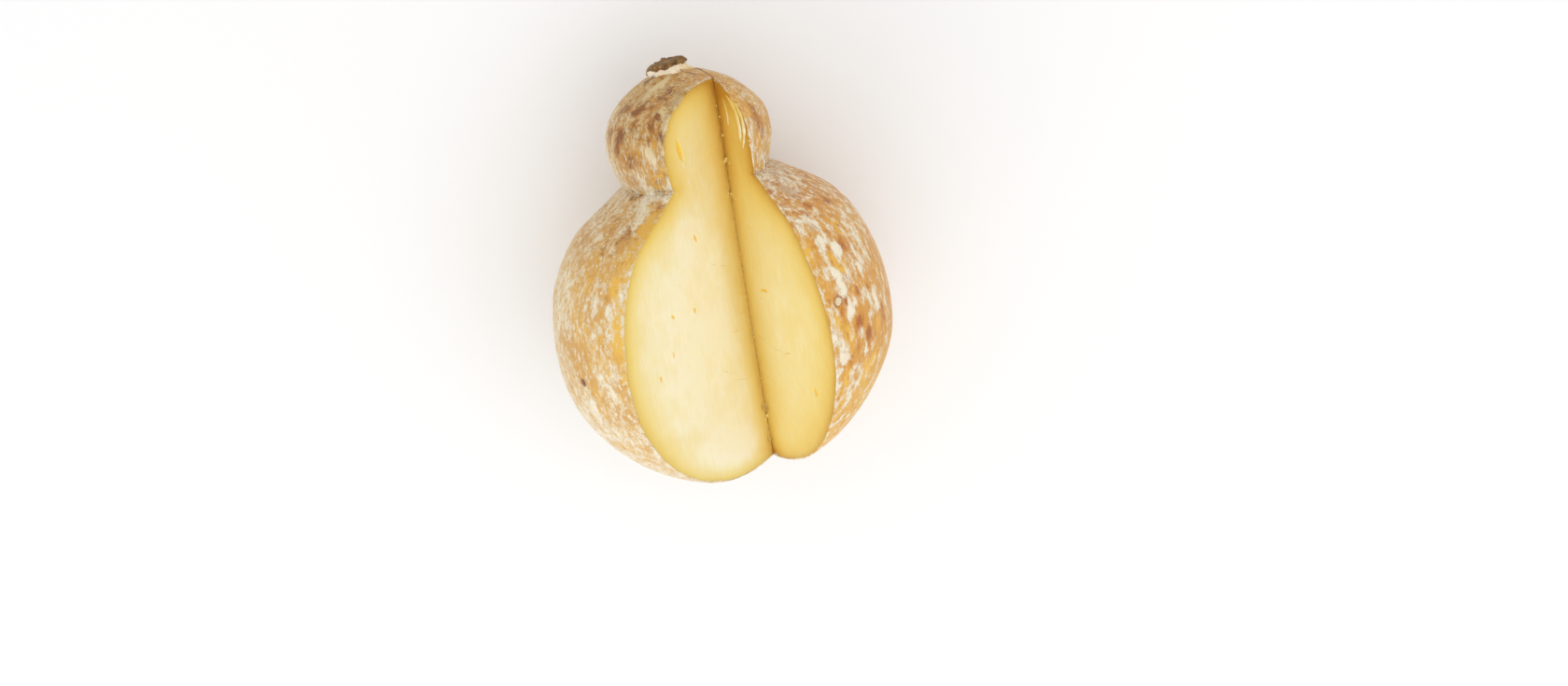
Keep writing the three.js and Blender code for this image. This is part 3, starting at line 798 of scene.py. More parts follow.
def knob_form(profile, columns, roughen):
    """A part of the knob: its profile of radius and height carried once round, roughened, leant and placed.

    The radius ripples as in the solid: 1 + 0.05 sin(3t + 0.4) + 0.035 sin(7t + height).
    """
    line = soft_line(profile, KNOB_RINGS, 3)
    turn = np.linspace(0.0, 2.0 * np.pi, columns, endpoint=False)
    radius, rise, turn = np.broadcast_arrays(line[:, :1], line[:, 1:], turn)
    flat = np.stack([radius * np.sin(turn), rise, radius * np.cos(turn)], axis=-1)
    ripple = 1.0 + 0.05 * np.sin(3.0 * turn + 0.4) + 0.035 * np.sin(7.0 * turn + rise)
    out, up = roughen(flat, radius, rise, turn)
    radius = radius * ripple + out * np.minimum(radius / 3.0, 1.0)
    rise = rise + 0.05 * np.sin(2.0 * turn + 1.0) * radius + up
    rise[0], rise[-1] = rise[0].mean(), rise[-1].mean()
    x, cos, sin = radius * np.sin(turn), np.cos(KNOB_LEAN), np.sin(KNOB_LEAN)
    leant = np.stack([x * cos - rise * sin, x * sin + rise * cos, radius * np.cos(turn)], axis=-1)
    points = leant + (KNOB_X + KNOB_SHIFT, KNOB_FOOT, KNOB_Z)
    used, faces = closed_round(points.shape, flipped=True)
    return points.reshape(-1, 3)[used], faces, flat.reshape(-1, 3)[used]


def front_lift(flat):
    """How much higher the knob's top is on the side of the cut: it grows evenly from the middle outwards."""
    return 0.8 * np.clip(flat[..., 2] / 9.0, 0.0, 1.0)


def side_roughness(flat, radius, rise, turn):
    """Upright furrows, pinched holes low on the knob's side, and its foot spread over the crown."""
    axis = np.stack([np.sin(turn) * 9.0, np.cos(turn) * 9.0, rise / 5.0], axis=-1)
    furrows = 0.16 * noise(axis, 1.0, 71) + 0.05 * noise(axis, 0.45, 72)
    lower = smooth(rise, 1.2, 3.0)
    angle = np.degrees(turn) % 360.0
    holes = sum(deep * bell(angle, at, 5.5) * bell(rise, high, 0.8) for at, high, deep in HOLES)
    spread = sum(wide * bell(angle, at, 24.0) * bell(rise, high, 2.2) for at, high, wide in FOOT_SPREADS)
    return (furrows - holes + spread) * lower, front_lift(flat) * smooth(rise, 4.0, 8.8)


def cap_roughness(flat, radius, rise, turn):
    """Wrinkles of the dried skin, radial at the rim and crumpled in the middle of the pressed-down cap."""
    axis = np.stack([np.sin(turn) * 7.0, np.cos(turn) * 7.0, radius / 9.0], axis=-1)
    rim = smooth(radius, 5.5, 9.0)
    level = flat * (1.0, 0.3, 1.0)
    crumple = 0.5 * noise(level, 2.6, 74) + 0.25 * noise(level, 1.1, 75) + 0.5 * noise(level, 6.0, 78)
    leftward = np.clip(-flat[..., 0] / 9.0, 0.0, 1.0)
    out = rim * (0.7 * noise(axis, 2.2, 73) + 0.45 * noise(axis, 1.0, 73) + 0.18 * noise(axis, 0.4, 76))
    up = crumple * smooth(rise, 9.2, 10.6) - CAP_SINK
    up += rim * (0.55 * noise(axis, 1.6, 77) + 0.25 * noise(axis, 0.5, 77))
    return out - 0.8 * leftward * rim, up - 0.3 * leftward + front_lift(flat)


def knob_marks(own):
    """What the finish of the knob's side reads: its own place in units of 100 mm, painted shade in the
    pinched holes, and where the side is browner: on one side as older skin, towards its foot as painted
    shade.
    """
    angle, height = np.degrees(np.arctan2(own[:, 0], own[:, 2])) % 360.0, own[:, 1]
    # Painted shade in the pinched holes, which the shape also dents.
    dark = sum(1.5 * bell(angle, at, 5.0 * deep) * bell(height, high, 0.8 * deep) for at, high, deep in HOLES)
    # Browner on one side as older skin, and towards the foot as painted shade.
    aged_and_shade = 0.8 * smooth(6.8 - height, 0.0, 2.4) + 0.7 * bell(angle, 60.0, 34.0)
    return {"own": own / 100.0, "dark": np.clip(dark, 0.0, 1.0), "aged_and_shade": aged_and_shade}


# Crumbs that the blade left beside the inner edge: face, place along and out, size
CRUMBS = (
    (LEFT, 37.4, 0.8, 0.75), (RIGHT, 36.4, 1.3, 0.8), (RIGHT, 38.0, 3.4, 0.45), (RIGHT, 52.6, 1.1, 0.85),
    (LEFT, 52.0, 1.7, 0.55), (RIGHT, 54.3, 3.9, 0.4), (RIGHT, 17.0, 1.0, 0.55), (RIGHT, 25.5, 1.1, 0.6),
    (RIGHT, 159.1, 0.9, 0.8), (LEFT, 160.6, 1.3, 0.45), (RIGHT, 88.0, 0.8, 0.4), (LEFT, 101.0, 0.7, 0.4),
    (RIGHT, 120.5, 0.8, 0.45), (LEFT, 72.0, 0.8, 0.35), (RIGHT, 141.0, 0.7, 0.4), (LEFT, 12.0, 0.8, 0.4),
)

# Strips of curd pulled up in the torn rim: half width and the places along and out that they pass
STRIPS = (
    (1.5, ((5.2, 8.8), (6.6, 11.6), (8.9, 14.4), (13.2, 16.3), (19.1, 17.2), (25.5, 16.6))),
    (1.2, ((6.2, 13.4), (9.6, 16.8), (13.8, 19.2), (18.1, 19.9), (22.6, 19.5), (28.4, 17.6))),
    (0.8, ((7.5, 5.6), (10.5, 7.2), (14.5, 8.0), (20.0, 7.6))),
)


def on_face(face, along, out):
    """Points of a cut face at places along and out, and the directions there into the cut."""
    turn = np.broadcast_to(RIGHT_TURN if face == RIGHT else LAST_TURN, np.shape(along))
    _, rise, normal = face_axes(turn)
    flat = CUT_TOP + along[..., None] * INNER_EDGE + out[..., None] * rise
    return fan_point(turn, flat, out), normal if face == RIGHT else -normal


def lump(face, along, out, size, seed, rings=9, columns=12):
    """A crumb: a ball whose radius is its size times 1 plus noise, stretched along the cheese."""
    polar = np.linspace(0.0, np.pi, rings)[:, None]
    turn = np.linspace(0.0, 2.0 * np.pi, columns, endpoint=False)
    sides = (np.sin(polar) * np.cos(turn), np.sin(polar) * np.sin(turn), np.cos(polar) + 0.0 * turn)
    ball = np.stack(sides, axis=-1)
    radius = size * (1.0 + 0.35 * noise(ball + seed * 7.3, 0.8, seed))
    foot, toward = on_face(face, np.array(along), np.array(out))
    points = ball * radius[..., None] * (0.8, 1.25, 0.75) + foot + 0.3 * size * toward
    used, faces = closed_round(points.shape)
    return points.reshape(-1, 3)[used], faces


def strip(half_width, places, steps=60, sides=10):
    """A pulled strip: a flat oval carried along a smooth line on the second face, thin at both ends."""
    line = soft_line(places, steps, 12)
    centre, toward = on_face(RIGHT, line[:, 0], line[:, 1])
    across = np.cross(unit(np.gradient(centre, axis=0)), toward)
    share = np.linspace(0.0, 1.0, steps)
    taper = np.sqrt(np.maximum(np.sin(np.pi * share), 0.0)) * (1.0 + 0.5 * noise(centre, 2.4, 81))
    angle = np.linspace(0.0, 2.0 * np.pi, sides, endpoint=False)[:, None]
    wide = (half_width * taper)[:, None, None] * np.cos(angle) * across[:, None]
    high = (0.17 * half_width * taper)[:, None, None] * np.sin(angle) * toward[:, None]
    points = centre[:, None] + wide + high
    used, faces = closed_round(points.shape)
    return points.reshape(-1, 3)[used], faces


def joined(parts):
    """Several meshes of corners and triangles as one."""
    starts = np.cumsum([0] + [len(points) for points, _ in parts])
    points = np.concatenate([points for points, _ in parts])
    return points, np.concatenate([faces + start for (_, faces), start in zip(parts, starts)])


def colour(red, green, blue):
    """A colour of 0 to 255 per channel as the linear values that Blender uses."""
    values = np.array((red, green, blue)) / 255.0
    return tuple(np.where(values <= 0.04045, values / 12.92, ((values + 0.055) / 1.055) ** 2.4)) + (1.0,)


class Finish:
    """A material, and short ways to add the nodes that make its finish."""

    def __init__(self, name):
        self.shades = shades()
        self.material = bpy.data.materials.new(name)
        self.material.use_nodes = True
        self.tree = self.material.node_tree
        self.shader = self.tree.nodes["Principled BSDF"]

    def set(self, socket, value):
        """Links a node's result to a socket, or sets the socket to a number or to the colour of that name."""
        if isinstance(value, bpy.types.NodeSocket):
            self.tree.links.new(value, socket)
        else:
            socket.default_value = self.shades[value] if isinstance(value, str) else value

    def add(self, kind, inputs, **settings):
        """A node of a kind with its settings, its inputs given by name or number."""
        node = self.tree.nodes.new("ShaderNode" + kind)
        for name, value in settings.items():
            setattr(node, name, value)
        for name, value in inputs.items():
            self.set(node.inputs[name], value)
        return node

    def mark(self, name, output="Fac"):
        """What a named attribute of the mesh holds."""
        return self.add("Attribute", {}, attribute_name=name).outputs[output]

    def place(self):
        """The object's own coordinates."""
        return self.add("TexCoord", {}).outputs["Object"]

    def parts(self, vector):
        """The three numbers of a vector or colour."""
        return self.add("SeparateXYZ", {0: vector}).outputs

    def stretched(self, vector, factors):
        """A vector with each of its numbers multiplied."""
        return self.add("VectorMath", {0: vector, 1: factors}, operation="MULTIPLY").outputs[0]

    def moved(self, vector, amounts):
        """A vector with numbers added, for another part of a pattern."""
        return self.add("VectorMath", {0: vector, 1: amounts}, operation="ADD").outputs[0]

    def wavered(self, vector, amount, scale, detail=3.0):
        """A vector moved to and fro by the three numbers of a noise's colour."""
        wave = self.moved(self.noise(self.place(), scale, detail, output=1), (-0.5, -0.5, -0.5))
        scaled = self.add("VectorMath", {0: wave, 3: amount}, operation="SCALE").outputs[0]
        return self.moved(vector, scaled)

    def noise(self, vector, scale, detail=3.0, roughness=0.55, distortion=0.0, output=0):
        """Blender's noise at a scale; output 1 is its colour."""
        names = ("Vector", "Scale", "Detail", "Roughness", "Distortion")
        inputs = dict(zip(names, (vector, scale, detail, roughness, distortion)))
        return self.add("TexNoise", inputs).outputs[output]

    def grain(self, scale, detail=3.0, roughness=0.55):
        """Noise round 0 in the object's own coordinates."""
        return self.math("SUBTRACT", self.noise(self.place(), scale, detail, roughness), 0.5)

    def pattern(self, vector, factors, detail, roughness, move=(0.0, 0.0, 0.0)):
        """Noise round 0 with as many grains along each axis as its factor says."""
        vector = self.moved(self.stretched(vector, factors), move)
        return self.math("SUBTRACT", self.noise(vector, 1.0, detail, roughness), 0.5)

    def cells(self, vector):
        """Voronoi cells of size 1: distance from the nearest centre, and a random colour for each cell."""
        node = self.add("TexVoronoi", {"Vector": vector, "Scale": 1.0})
        return node.outputs["Distance"], node.outputs["Color"]

    def math(self, operation, first, second=0.0):
        """Two numbers combined."""
        return self.add("Math", {0: first, 1: second}, operation=operation).outputs[0]

    def times(self, first, second):
        """Two numbers multiplied."""
        return self.math("MULTIPLY", first, second)

    def sum(self, *pairs):
        """The sum of values times their weights."""
        total = 0.0
        for value, weight in pairs:
            total = self.add("Math", {0: value, 1: weight, 2: total}, operation="MULTIPLY_ADD").outputs[0]
        return total

    def step(self, value, low, high, start=0.0, end=1.0):
        """Start below low, end above high, smooth between. The value may be pairs of values and weights."""
        value = self.sum(*value) if isinstance(value, tuple) else value
        inputs = {"Value": value, "From Min": low, "From Max": high, "To Min": start, "To Max": end}
        return self.add("MapRange", inputs, interpolation_type="SMOOTHSTEP").outputs[0]

    def blend(self, share, first, second, kind="MIX"):
        """Two colours mixed by a share."""
        return self.add("Mix", {0: share, 6: first, 7: second}, data_type="RGBA", blend_type=kind).outputs[2]

    def over(self, skin, colour, value, low, high, most=1.0):
        """A colour laid over the skin: none of it where a value is low, most where it is high."""
        return self.blend(self.step(value, low, high, 0.0, most), skin, colour)

    def away(self, vector, place, size, turn=0.0):
        """How far a vector lies from the middle of a turned oval: 1 on its border."""
        inputs = {"Vector": vector, "Location": place, "Rotation": (0.0, 0.0, turn), "Scale": size}
        inside = self.add("Mapping", inputs, vector_type="TEXTURE").outputs[0]
        return self.add("VectorMath", {0: inside}, operation="LENGTH").outputs["Value"]

    def ovals(self, vector, ovals, soft):
        """1 inside ovals on the cut faces and 0 outside: face, along, out, length, width, turn in degrees."""
        total = 0.0
        for face, along, out, length, width, turn, *_ in ovals:
            size = (length / 200.0, width / 200.0, 0.004)
            distance = self.away(vector, (along / 100.0, out / 100.0, face / 100.0), size, np.radians(turn))
            total = self.math("MAXIMUM", total, self.step(distance, 1.0, soft))
        return total

    def dress(self, colour, roughness, specular=0.5, bump=None, seep=0.0, reach=(0.0, 0.0, 0.0)):
        """Connects the shader and gives the material.

        bump is a height, its distance in metres and its strength. seep is how much light goes under the
        surface, and reach how far it goes there in metres, for red, green and blue.
        """
        values = {
            "Base Color": colour, "Roughness": roughness, "Specular IOR Level": specular,
            "Subsurface Weight": seep, "Subsurface Radius": reach, "Subsurface Scale": 1.0,
        }
        if bump:
            inputs = dict(zip(("Height", "Distance", "Strength"), bump))
            values["Normal"] = self.add("Bump", inputs).outputs[0]
        for name, value in values.items():
            self.set(self.shader.inputs[name], value)
        return self.material


# Layers of whitish dots: cells to a cm round the cheese and along it, how far the pattern is moved
DROPLETS = (((2.7, 2.7, 1.9), (0.0, 0.0, 0.0)), ((4.6, 4.6, 3.2), (2.1, 5.3, 1.7)))


def droplets(f, pull, cover, fine, cells, move):
    """Whitish dots, longer along the cheese: round the centres of random cells, larger where the haze is."""
    wavy = f.wavered(pull, 0.06, 380.0, 2.0)
    distance, chance = f.cells(f.moved(f.stretched(wavy, cells), move))
    size, tone, _ = f.parts(chance)
    inside = ((distance, -1.0), (size, 0.32), (cover, 0.6), (fine, 0.3))
    return f.times(f.step(inside, 0.17, 0.25), f.step(tone, 0.0, 0.8, 0.35, 1.0))


# Patterns that run with the pull: grains to a cm round the cheese and along it, detail, roughness, move.
# In order: large and small flakes, blotches, hairs, lines, strands.
PULLED = (
    ((2.6, 2.6, 1.3), 4.0, 0.55), ((5.4, 5.4, 3.3), 4.0, 0.6), ((3.0, 3.0, 1.7), 5.0, 0.62, (7.3, 3.1, 5.7)),
    ((12.0, 12.0, 4.5), 3.0, 0.6), ((9.0, 9.0, 0.8), 3.0, 0.6), ((17.0, 17.0, 1.7), 3.0, 0.6),
)
# Single marks on the rind: height, turn in degrees, half width, half length in mm
SCAB = (11.1, 42.4, 2.5, 2.3)
# And small ones with their strength and colour: a dark spot, a brown dot, a glint, a pale dot
SMALL_MARKS = (
    ((-7.8, -58.5, 2.4, 2.1), 0.95, "pit"), ((-7.1, -37.8, 0.5, 0.6), 0.85, "umber"),
    ((-21.5, -45.7, 1.3, 0.9), 0.9, "flake"), ((-19.0, 63.6, 0.5, 0.9), 0.9, "flake"),
)


def rind_finish():
    """Golden and brown skin under a whitish haze that lies in flakes and streaks along the pull."""
    f = Finish("provolone_rind")
    pull = f.mark("pull", "Vector")
    haze, bold, brown = f.parts(f.mark("zone", "Color"))
    pale, gold, patch = f.parts(f.mark("spot", "Color"))
    grey, old_and_shade = f.mark("spot", "Alpha"), f.mark("old_and_shade")
    ragged = f.wavered(pull, 0.08, 300.0)
    large, small, blotch, hairs, lines, strands = (f.pattern(ragged, *each) for each in PULLED)
    fine, broad = f.grain(1100.0, 4.0, 0.65), f.grain(50.0)

    def by_bold(plain, full):
        """A number that goes from plain to full as the flakes get bolder."""
        return f.step(bold, 0.0, 1.0, plain, full)

    boldly, finely = f.times(large, by_bold(0.8, 1.7)), f.times(small, by_bold(1.1, 0.7))
    streaks = f.times(f.sum((lines, 0.75), (strands, 0.6)), f.mark("zone", "Alpha"))

    # Golden and brown skin
    skin = f.over("tan", "gold", ((blotch, 1.0), (broad, 0.8)), -0.16, 0.16)
    skin = f.blend(f.times(bold, 0.8), skin, "honey")
    skin = f.over(skin, "fringe", ((gold, 0.8), (small, 1.0), (hairs, 0.3), (fine, 0.3)), 0.1, 0.7, 0.85)
    browned = f.sum(
        (brown, 0.9), (patch, 0.6), (blotch, 1.9), (fine, 0.35), (streaks, 1.3), (hairs, 0.5), (broad, 0.4)
    )
    skin = f.over(skin, f.blend(bold, "brown", "rust"), browned, 0.08, 0.72, 0.95)
    skin = f.over(skin, "umber", browned, 0.5, 0.9, by_bold(0.6, 0.3))

    # Haze, dots and flakes
    cover = f.sum(
        (haze, 1.0), (boldly, 1.15), (finely, 0.9), (streaks, 1.5), (hairs, 0.4), (fine, 0.35), (broad, 0.5),
        (pale, 0.34), (gold, -0.12), (patch, -0.3), (grey, 0.1),
    )
    skin = f.over(skin, "cream", cover, 0.36, 0.76, by_bold(0.58, 0.62))
    dots = f.math("MAXIMUM", *(droplets(f, pull, cover, fine, *layer) for layer in DROPLETS))
    dots = f.times(dots, f.times(by_bold(0.9, 0.4), f.step(old_and_shade, 0.0, 1.0, 1.0, 0.4)))
    skin = f.blend(dots, skin, "cream")
    flaky = ((cover, 1.0), (fine, 0.7), (hairs, 0.5), (strands, 0.35), (blotch, -0.3))
    flake = f.step(flaky, 0.53, by_bold(0.7, 0.78))
    worn = f.times(by_bold(0.5, 0.8), f.step(((lines, 1.0), (hairs, 0.8)), -0.2, 0.06, 0.6, 1.0))
    skin = f.blend(f.times(flake, worn), skin, f.blend(f.times(bold, 0.5), "cream", "flake"))
    bright = f.step(((cover, 1.0), (fine, 0.5)), 0.68, 0.8)
    skin = f.blend(f.times(bright, 0.7), skin, "flake")

    # Grey patches, specks, scraped skin, darker older skin with painted shade, dark spots with painted shade
    # along the crease, and the blade's groove painted dark as shade
    skin = f.over(skin, "greyish", ((grey, 0.9), (small, 1.2)), 0.2, 0.9, 0.6)
    skin = f.over(skin, "brown", ((fine, 1.0), (brown, 0.06)), 0.12, 0.2, 0.45)
    scraped = f.over("scraped", "torn", ((hairs, 0.7), (lines, 1.4)), -0.12, 0.14)
    skin = f.over(skin, scraped, ((f.mark("bare"), 0.8), (small, 1.2), (lines, 1.6)), 0.3, 0.7, 0.9)
    # Darker skin on the head, the upper left shoulder and round the knob: partly older skin, partly painted
    # shade.
    skin = f.blend(old_and_shade, skin, "dull_and_shade", "MULTIPLY")
    # Dark spots and painted shade along the crease: darker, and sunk a little by the bump.
    speck_and_shade_parts = ((f.mark("dark_spots_and_crease_shade"), 1.0), (small, 1.6), (hairs, 1.2), (fine, 1.0))
    specked_and_shaded = f.step(speck_and_shade_parts, 0.35, 0.85, 0.0, 0.8)
    skin = f.blend(specked_and_shaded, skin, "dark_speck_and_shade")
    # The blade's groove, painted dark as its shade.
    skin = f.over(skin, "score_shade", f.mark("score_shade"), 0.1, 0.6, 0.85)

    # Single marks
    wavy = f.wavered(pull, 0.27, 280.0)
    scab = f.away(wavy, *on_skin(SCAB))
    ring = f.times(f.step(scab, 0.68, 0.88), f.step(scab, 1.45, 1.1))
    ring = f.times(ring, f.step(hairs, -0.12, 0.02, 0.4, 1.0))
    skin = f.over(skin, "cream", scab, 0.9, 0.7, 0.8)
    skin = f.blend(f.times(ring, 0.85), skin, "brown")
    for mark, strength, name in SMALL_MARKS:
        skin = f.over(skin, name, f.away(wavy, *on_skin(mark)), 1.1, 0.5, strength)

    height = f.sum(
        (flake, 0.3), (bright, 0.25), (dots, 0.3), (streaks, 1.8), (hairs, 0.9), (small, 0.7), (fine, 1.5),
        (specked_and_shaded, -0.8), (ring, 1.2),
    )
    roughness = f.step(((flake, 0.5), (fine, 1.0)), -0.1, 0.6, 0.45, 0.68)
    return f.dress(skin, roughness, 0.35, (height, 0.00025, 0.8), 0.1, (0.003, 0.0018, 0.0008))


def on_skin(mark):
    """The middle and the size of a mark in the rolled-out place of the skin."""
    height, degrees, half_width, half_length = mark
    radius, walked = rolled_out(height)
    turn = np.radians(degrees)
    middle = np.array((radius * np.sin(turn), radius * np.cos(turn), walked))
    return tuple(middle / 10.0), (half_width / 10.0, half_width / 10.0, half_length / 10.0)


# Colours of the paste from the palest to the darkest tone, which stands for riper paste and for painted
# shade, and where each is pure
PASTE_RAMP = (("middle", 0.03), ("straw", 0.14), ("golden", 0.34), ("amber", 0.64), ("deep", 1.0))


def paste_finish():
    """Cut paste: cream in the middle, golden and amber where riper and where shade is painted beside the
    inner edge and on the second face, with slits, cracks, smears and a thin dark line of painted shade in the
    inner edge.
    """
    f = Finish("provolone_paste")
    sheet = f.mark("sheet", "Vector")
    along, out, _ = f.parts(sheet)
    cloud, fine, crumbly = f.grain(60.0, 3.0, 0.5), f.grain(700.0, 3.0, 0.6), f.grain(420.0, 4.0, 0.6)
    drag = f.pattern(sheet, (9.0, 55.0, 3.0), 3.0, 0.5)
    # The tone: riper paste, and painted shade beside the inner edge and on the second face, with noise.
    tone = f.sum((f.mark("ripe_and_shade"), 1.0), (cloud, 0.1), (drag, 0.1), (fine, 0.03))
    ramp = f.add("ValToRGB", {0: tone})
    ramp.color_ramp.interpolation = "B_SPLINE"
    elements = ramp.color_ramp.elements
    while len(elements) < len(PASTE_RAMP):
        elements.new(0.5)
    for element, (name, position) in zip(elements, PASTE_RAMP):
        element.position, element.color = position, f.shades[name]

    wavy = f.wavered(sheet, 0.004, 260.0)
    smears = f.times(f.ovals(wavy, SMEARS, 0.3), f.step(((fine, 1.0), (drag, 0.6)), -0.2, 0.1))
    skin = f.blend(f.times(smears, 0.8), ramp.outputs["Color"], "flake")
    cracks = f.times(f.ovals(wavy, CRACKS, 0.3), f.step(crumbly, -0.12, 0.06, 0.25, 1.0))
    skin = f.blend(f.times(cracks, 0.65), skin, "amber")
    slits = f.ovals(f.wavered(sheet, 0.0015, 500.0, 2.0), SLITS, 0.85)
    skin = f.blend(f.times(slits, 0.9), skin, "slit")
    # A thin dark line of painted shade in the inner edge, where the two faces meet, broken up by noise.
    line = f.step(((out, 100.0), (crumbly, 1.6)), 0.62, 0.2)
    lumps = f.step(((crumbly, 1.0), (along, 0.05)), -0.06, 0.12, 0.1, 0.7)
    skin = f.blend(f.times(line, lumps), skin, "edge")

    height = f.sum((fine, 0.12), (drag, 0.5), (cracks, -0.4), (smears, 0.4), (slits, -0.8), (line, -0.5))
    roughness = f.step(((fine, 0.6), (drag, 0.4)), -0.2, 0.2, 0.36, 0.5)
    return f.dress(skin, roughness, 0.3, (height, 0.00018, 0.5), 0.3, (0.006, 0.0035, 0.0012))


def cap_finish():
    """Dried dark skin: its own brown, with painted light on the raised ridges and painted shade, nearly
    black, in the furrows, where the bump lies low.
    """
    f = Finish("provolone_dry_cap")
    fine = f.noise(f.place(), 1500.0, 3.0, 0.6)
    tone = f.sum((f.noise(f.place(), 420.0, 6.0, 0.65, 0.6), 0.8), (fine, 0.2))
    # Painted shade in the furrows and painted light on the ridges, by the same noise that makes the bump.
    skin = f.over("furrow", "cap", tone, 0.34, 0.5)
    skin = f.over(skin, "lit_ridge", tone, 0.5, 0.68)
    return f.dress(skin, f.step(fine, 0.3, 0.7, 0.55, 0.8), 0.3, (tone, 0.0006, 0.9))


def knob_finish():
    """The knob's pale side: cream and pinkish, with upright brown furrows, browner on one side, with painted
    shade towards its foot and in its dark pinched holes.
    """
    f = Finish("provolone_knob")
    furrow = f.noise(f.stretched(f.mark("own", "Vector"), (60.0, 14.0, 60.0)), 10.0, 4.0, 0.6)
    mottle, aged_and_shade = f.noise(f.place(), 380.0, 5.0, 0.6), f.mark("aged_and_shade")
    skin = f.over("pinkish", "flake", mottle, 0.4, 0.6)
    skin = f.over(skin, "straw", ((furrow, 0.8), (mottle, 0.3), (aged_and_shade, 0.2)), 0.52, 0.8, 0.7)
    skin = f.over(skin, "brown", ((furrow, 1.0), (mottle, 0.3), (aged_and_shade, 0.12)), 0.72, 0.86, 0.75)
    # Painted shade in the pinched holes.
    skin = f.blend(f.mark("dark"), skin, "dark_speck_and_shade")
    return f.dress(skin, 0.6, 0.3, (f.sum((furrow, 0.7), (mottle, 0.3)), 0.00016, 0.7))


def curd_finish():
    """Pulled curd and crumbs: pale at their free ends, golden where they grow out of the paste."""
    f = Finish("provolone_curd")
    mottle = f.grain(500.0, 4.0, 0.6)
    golden = f.sum((f.mark("golden"), 1.0), (mottle, 1.2))
    skin = f.over("middle", "golden", golden, -0.2, 0.5)
    skin = f.over(skin, "amber", golden, 0.4, 1.1, 0.8)
    return f.dress(skin, 0.5, 0.3, (mottle, 0.0002, 0.6), 0.25, (0.00015, 0.0001, 0.00004))


COLOURS = {
    "tan": ("Tan", "Skin between the golden parts", (210, 158, 80)),
    "gold": ("Gold", "Golden skin under the haze", (228, 180, 86)),
    "brown": ("Brown", "Riper patches of the skin", (174, 114, 56)),
    "rust": ("Rust", "Riper patches between the bold flakes", (184, 108, 46)),
    "umber": ("Umber", "Darkest brown of the skin", (128, 82, 44)),
    "honey": ("Honey", "Skin between the bold flakes", (216, 153, 60)),
    "scraped": ("Scraped skin", "Darker streaks where the skin is scraped off", (208, 142, 54)),
    "fringe": ("Fringe", "Golden skin beside the cut", (236, 186, 76)),
    "cream": ("Cream", "Whitish haze on the skin", (236, 218, 184)),
    "flake": ("Flake", "Palest flakes and the cut rim", (246, 236, 214)),
    "greyish": ("Greyish", "Greyish patches beside the neck", (196, 174, 144)),
    # Darkens the older skin and the painted shade on the head, the upper left shoulder and round the knob.
    "dull_and_shade": ("Dull", "What the oldest skin is darkened by", (230, 216, 182)),
    "pit": ("Dark spot", "Sunken reddish brown spot low on the left", (128, 70, 44)),
    # Colour of the dark spots, of the painted shade along the crease and of the painted shade in the knob's
    # holes.
    "dark_speck_and_shade": ("Grime", "Dark specks in the crease", (112, 84, 58)),
    # Painted shade in the blade's groove.
    "score_shade": ("Blade's mark", "Thin line beside the cut's top", (128, 82, 42)),
    "torn": ("Torn skin", "Skin scraped off beside the cut", (236, 190, 108)),
    # The paste's ramp: its golden, amber and deep stops also carry the painted shade beside the inner edge
    # and on the second face.
    "middle": ("Paste, middle", "Palest paste, far from the rind", (245, 237, 208)),
    "straw": ("Paste, straw", "Paste between middle and rind", (237, 219, 152)),
    "golden": ("Paste, golden", "Paste near the rind", (234, 206, 118)),
    "amber": ("Paste, amber", "Ripest paste", (222, 182, 82)),
    "deep": ("Paste, deep amber", "Paste in the inner edge of the head", (186, 126, 34)),
    # Painted shade: the dark line in the inner edge of the cut.
    "edge": ("Inner edge", "Thin dark line in the inner edge of the cut", (172, 132, 58)),
    "slit": ("Slit", "Inside of the slits", (246, 200, 60)),
    "cap": ("Cap", "Dry skin on the knob", (130, 95, 50)),
    # Painted light on the cap's raised wrinkles.
    "lit_ridge": ("Cap ridges", "Raised wrinkles of the dry skin", (184, 142, 84)),
    # Painted shade in the cap's deep wrinkles.
    "furrow": ("Cap furrows", "Deep wrinkles of the dry skin", (56, 40, 24)),
    "pinkish": ("Knob side", "Pinkish parts of the knob's side", (252, 232, 204)),
}


def colour_properties():
    """A colour property for each named colour."""
    return {
        name: bpy.props.FloatVectorProperty(
            name=label, description=words, default=colour(*values)[:3], subtype="COLOR", min=0.0, max=1.0
        )
        for name, (label, words, values) in COLOURS.items()
    }


class ProvoloneColours(bpy.types.PropertyGroup):
    """Colours of the rind, the paste and the knob"""

    __annotations__ = colour_properties()


class ProvoloneStage(bpy.types.PropertyGroup):
    """The floor, the lights and the camera"""

    floor_size: bpy.props.FloatProperty(
        name="Floor size", description="Side of the square floor", default=3.0, min=0.5, unit="LENGTH"
    )
    floor_shade: bpy.props.FloatProperty(
        name="Floor shade", description="How pale the floor is", default=0.9, min=0.0, max=1.0,
        subtype="FACTOR",
    )
    key_power: bpy.props.FloatProperty(
        name="Key light", description="Power of the large light above", default=3.4, min=0.0, unit="POWER"
    )
    fill_power: bpy.props.FloatProperty(
        name="Fill light", description="Power of the light at the tail", default=3.4, min=0.0, unit="POWER"
    )
    sky: bpy.props.FloatProperty(
        name="Surround", description="Brightness of the white surround", default=0.9, min=0.0
    )
    lens: bpy.props.FloatProperty(
        name="Lens", description="Focal length on a 36 mm sensor", default=77.87, min=1.0, unit="CAMERA"
    )


def shades():
    """The panel's colours, ready for sockets."""
    chosen = bpy.context.scene.provolone_colours
    return {name: (*getattr(chosen, name), 1.0) for name in COLOURS}


